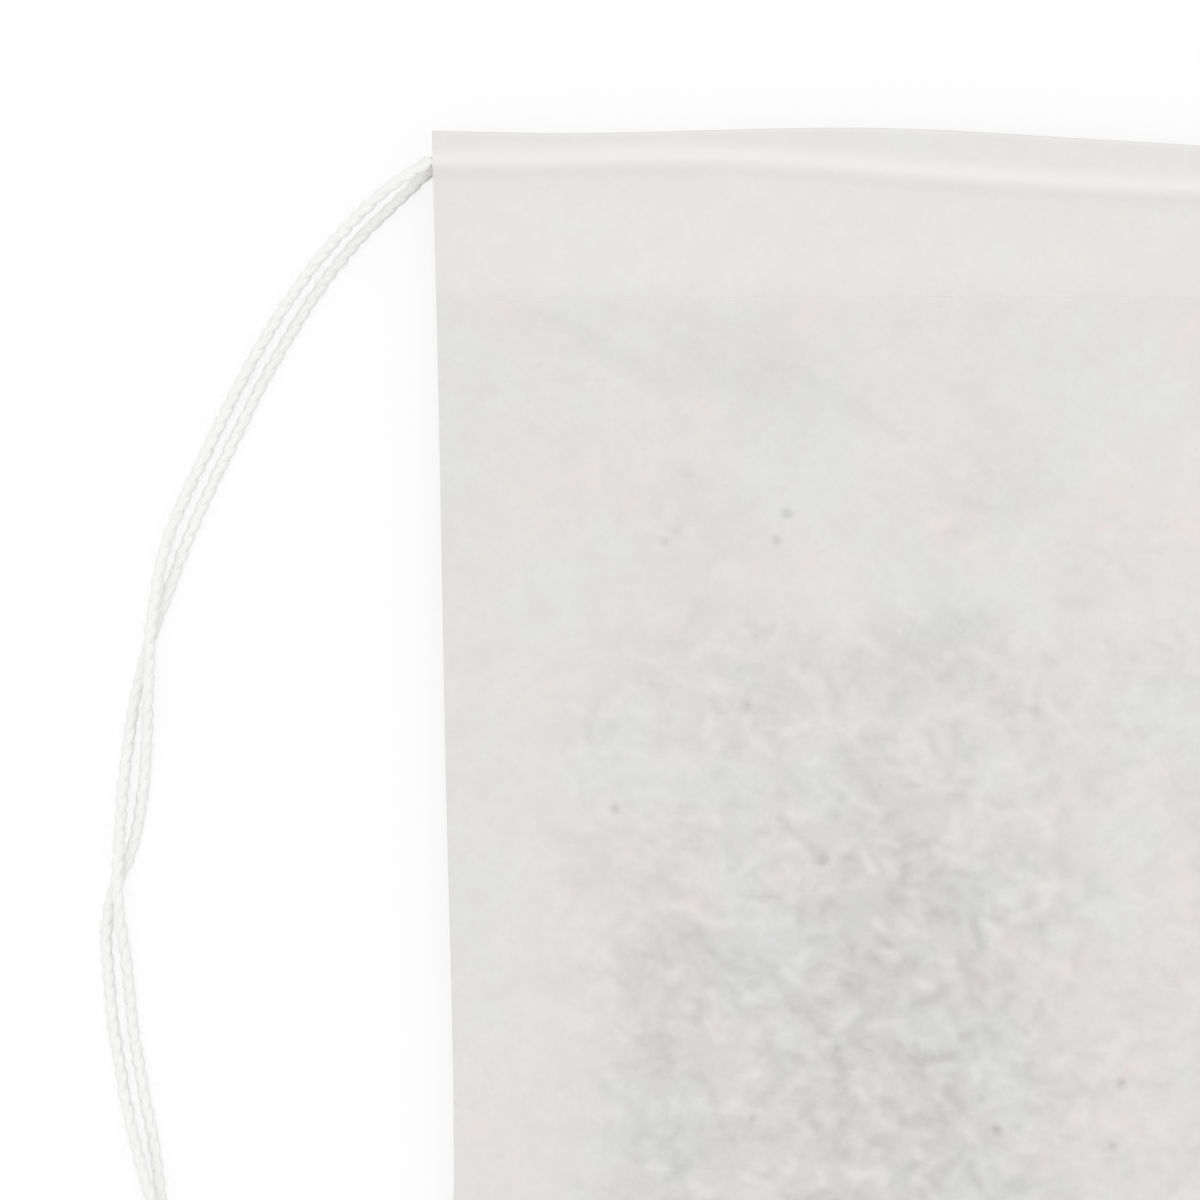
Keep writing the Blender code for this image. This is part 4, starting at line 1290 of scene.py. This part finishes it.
def fibre_web(graph, vector):
    """Long soft fibres laid in three directions."""
    web = None
    for angle, stretch in FIBRES:
        laid = graph.noise(graph.stretched(vector, angle, stretch), 1.0, distortion=1.2)
        web = laid if web is None else graph.calculated("MAXIMUM", web, laid)
    return web


def paper_colour(graph, vector, web):
    """Off-white paper with faint tints in patches, whiter where it lies double, with painted highlights on
    the ridge, the hem's cut edge and the top fold.
    """
    colour = PAPER
    for scale, tone, share, start, full in TINT_PATCHES:
        patches = graph.ranged(graph.noise(vector, scale), start, full, 0.0, share)
        colour = graph.mixed(patches, colour, tone)
    cloud = graph.ranged(graph.noise(vector, 420, 4.0, 0.62), 0.42, 0.66, 0.0, 0.9)
    colour = graph.mixed(cloud, colour, PAPER_GREY)
    # 'plies' also carries the painted highlights.
    plies = graph.ranged(graph.attribute("plies"), 1.0, 4.0, 0.0, 1.0)
    colour = graph.mixed(plies, colour, PAPER_DOUBLE_AND_HIGHLIGHT)
    return graph.mixed(graph.ranged(web, 0.50, 0.72, 0.0, 0.10), colour, PAPER_FIBRE)


def leaf_through_paper(graph, vector, colour):
    """The paper's colour, darkened where leaf lies against it and by painted shade in the creases, less
    where painted highlights lie, with warmer marks where most.
    """
    leaf = graph.attribute("leaf")
    grain = graph.ranged(graph.noise(vector, 2600), 0.3, 0.7, 0.88, 1.12)
    marks = graph.ranged(leaf, 0.16, 0.36, 0.0, 1.0)
    tone = graph.mixed(marks, LEAF_SHADE, LEAF_MARK)
    return graph.mixed(graph.calculated("MULTIPLY", leaf, grain), colour, tone)


def paper_material():
    material = bpy.data.materials.new("filter_paper")
    graph = Graph(material)
    vector = graph.object_place()
    web = fibre_web(graph, vector)
    colour = leaf_through_paper(graph, vector, paper_colour(graph, vector, web))
    web_relief = graph.bump(web, 0.00005, 0.15)
    relief = graph.bump(graph.noise(vector, 5200, 2.0), 0.00002, 0.35, Normal=web_relief)
    graph.finish(colour, graph.ranged(web, 0.4, 0.7, 0.92, 0.80), relief, gloss=0.3)
    return material


def thread_material():
    material = bpy.data.materials.new("cotton_thread")
    graph = Graph(material)
    streaks = graph.noise(graph.attribute("fibre", "Vector"), 2.2, 4.0, 0.65, 0.2)
    colour = graph.mixed(graph.ranged(streaks, 0.35, 0.65, 0.0, 1.0), COTTON, COTTON_STREAK)
    roughness = graph.ranged(streaks, 0.3, 0.7, 0.95, 0.82)
    graph.finish(colour, roughness, graph.bump(streaks, 0.00004, 0.6), gloss=0.25)
    return material


def tea_material():
    material = bpy.data.materials.new("tea_leaf")
    graph = Graph(material)
    vector = graph.object_place()
    fine = graph.noise(vector, 5200)
    broad = graph.ranged(graph.noise(vector, 900, 4.0), 0.35, 0.65, 0.0, 1.0)
    colour = graph.mixed(broad, TEA_DARK, TEA_BROWN)
    colour = graph.mixed(graph.ranged(fine, 0.55, 0.75, 0.0, 0.4), colour, TEA_PALE)
    graph.finish(colour, graph.ranged(fine, 0.3, 0.7, 0.6, 0.85), graph.bump(fine, 0.00003, 0.6))
    return material


# Stage

WORLD_LIGHT = 0.86
KEY_POWER = 1.07
KEY_SIZE = 0.45
KEY_PLACE = (-0.09, 0.17, 0.82)
FLOOR_SIZE = 6.0
FLOOR_GLOW = 0.78  # share of even white in what the camera sees of the floor


def build_camera():
    data = bpy.data.cameras.new("camera")
    data.lens = VIEW_LENS
    data.sensor_width = VIEW_SENSOR
    data.clip_start = 0.01
    data.clip_end = 10
    camera = placed("camera", data)
    camera.location = (*VIEW_CENTRE, VIEW_PLANE + VIEW_WIDTH * VIEW_LENS / VIEW_SENSOR)
    bpy.context.scene.camera = camera


def build_key():
    """One soft lamp from above, aimed at the middle of the floor."""
    data = bpy.data.lights.new("key", "AREA")
    data.shape = "SQUARE"
    data.size = KEY_SIZE
    data.energy = KEY_POWER
    lamp = placed("key", data)
    lamp.location = KEY_PLACE
    lamp.rotation_euler = (-Vector(KEY_PLACE)).to_track_quat("-Z", "Y").to_euler()


def seen_share(graph):
    """1 for rays from the camera or through gloss or glass, else 0."""
    path = graph.nodes.new("ShaderNodeLightPath").outputs
    seen = graph.calculated("MAXIMUM", path["Is Camera Ray"], path["Is Glossy Ray"])
    return graph.calculated("MAXIMUM", seen, path["Is Transmission Ray"])


def build_world():
    world = bpy.data.worlds.new("studio")
    bpy.context.scene.world = world
    graph = Graph(world)
    strength = graph.ranged(seen_share(graph), 0.0, 1.0, WORLD_LIGHT, 1.0)
    graph.fill(graph.nodes["Background"], {"Color": WHITE, "Strength": strength})


def floor_material():
    """Pale grey to the other pieces, and nearly even white with its shadow to the camera."""
    material = bpy.data.materials.new("floor")
    graph = Graph(material)
    graph.nodes.remove(graph.nodes["Principled BSDF"])
    plain = graph.add("ShaderNodeBsdfDiffuse", {"Color": FLOOR_TONE})
    bright = graph.add("ShaderNodeBsdfDiffuse", {"Color": WHITE})
    glow = graph.add("ShaderNodeEmission", {})
    shown = graph.add("ShaderNodeMixShader", {0: FLOOR_GLOW, 1: bright, 2: glow})
    whole = graph.add("ShaderNodeMixShader", {0: seen_share(graph), 1: plain, 2: shown})
    graph.links.new(whole, graph.nodes["Material Output"].inputs["Surface"])
    return material


def build_floor():
    half = FLOOR_SIZE / 2
    corners = [(-half, -half, 0), (half, -half, 0), (half, half, 0), (-half, half, 0)]
    add_piece("floor", corners, [(0, 1, 2, 3)], floor_material())


def build_stage():
    build_world()
    build_floor()
    build_key()
    bpy.context.scene.view_settings.view_transform = "Standard"


# The whole

def dress(piece, solid=None):
    """Fixes a piece to the bag's body, and hides the solid that it stands for."""
    if solid:
        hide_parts(solid)
    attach(piece, "root")


def build_drawstring():
    material = thread_material()
    lines = drawstring_lines()
    loop = lines["loop"]
    front_run = np.concatenate([loop[EXIT_RINGS::-1], lines["front_run"][1:]])
    back_run = np.concatenate([loop[-1 - EXIT_RINGS :], lines["back_run"][1:]])
    stretches = [
        ("drawstring_knot_tied", lines["front_knot"][::-1]),
        ("drawstring_front_thread", front_run[::-1]),
        ("drawstring_hem_thread", loop[EXIT_RINGS:-EXIT_RINGS]),
        ("drawstring_back_thread", back_run),
        ("drawstring_knot_tied", lines["back_knot"]),
    ]
    made = build_thread(stretches, material)
    knot = made["drawstring_knot_tied"]
    dress(knot, "drawstring_knot")
    dress(made["drawstring_hem_thread"], "drawstring_hem_loop")
    for side, name in ((FRONT, "front"), (BACK, "back")):
        piece = made["drawstring_" + name + "_thread"]
        dress(piece, "drawstring_" + name + "_run")
    for name, ends, kind, seed in (
        ("drawstring_loose_fibres", 0, "_run", 31),
        ("drawstring_frayed_ends", FRAYED_COUNT, "_knot", 32),
    ):
        pair = (lines["front" + kind], lines["back" + kind])
        dress(fuzz_piece(name, pair, ends, material, seed))


def build_bag():
    paper = build_paper(paper_material())
    dress(paper, "bag_paper")
    dress(build_tea(tea_material()), "tea_fill")


build_camera()
build_drawstring()
build_bag()
build_stage()
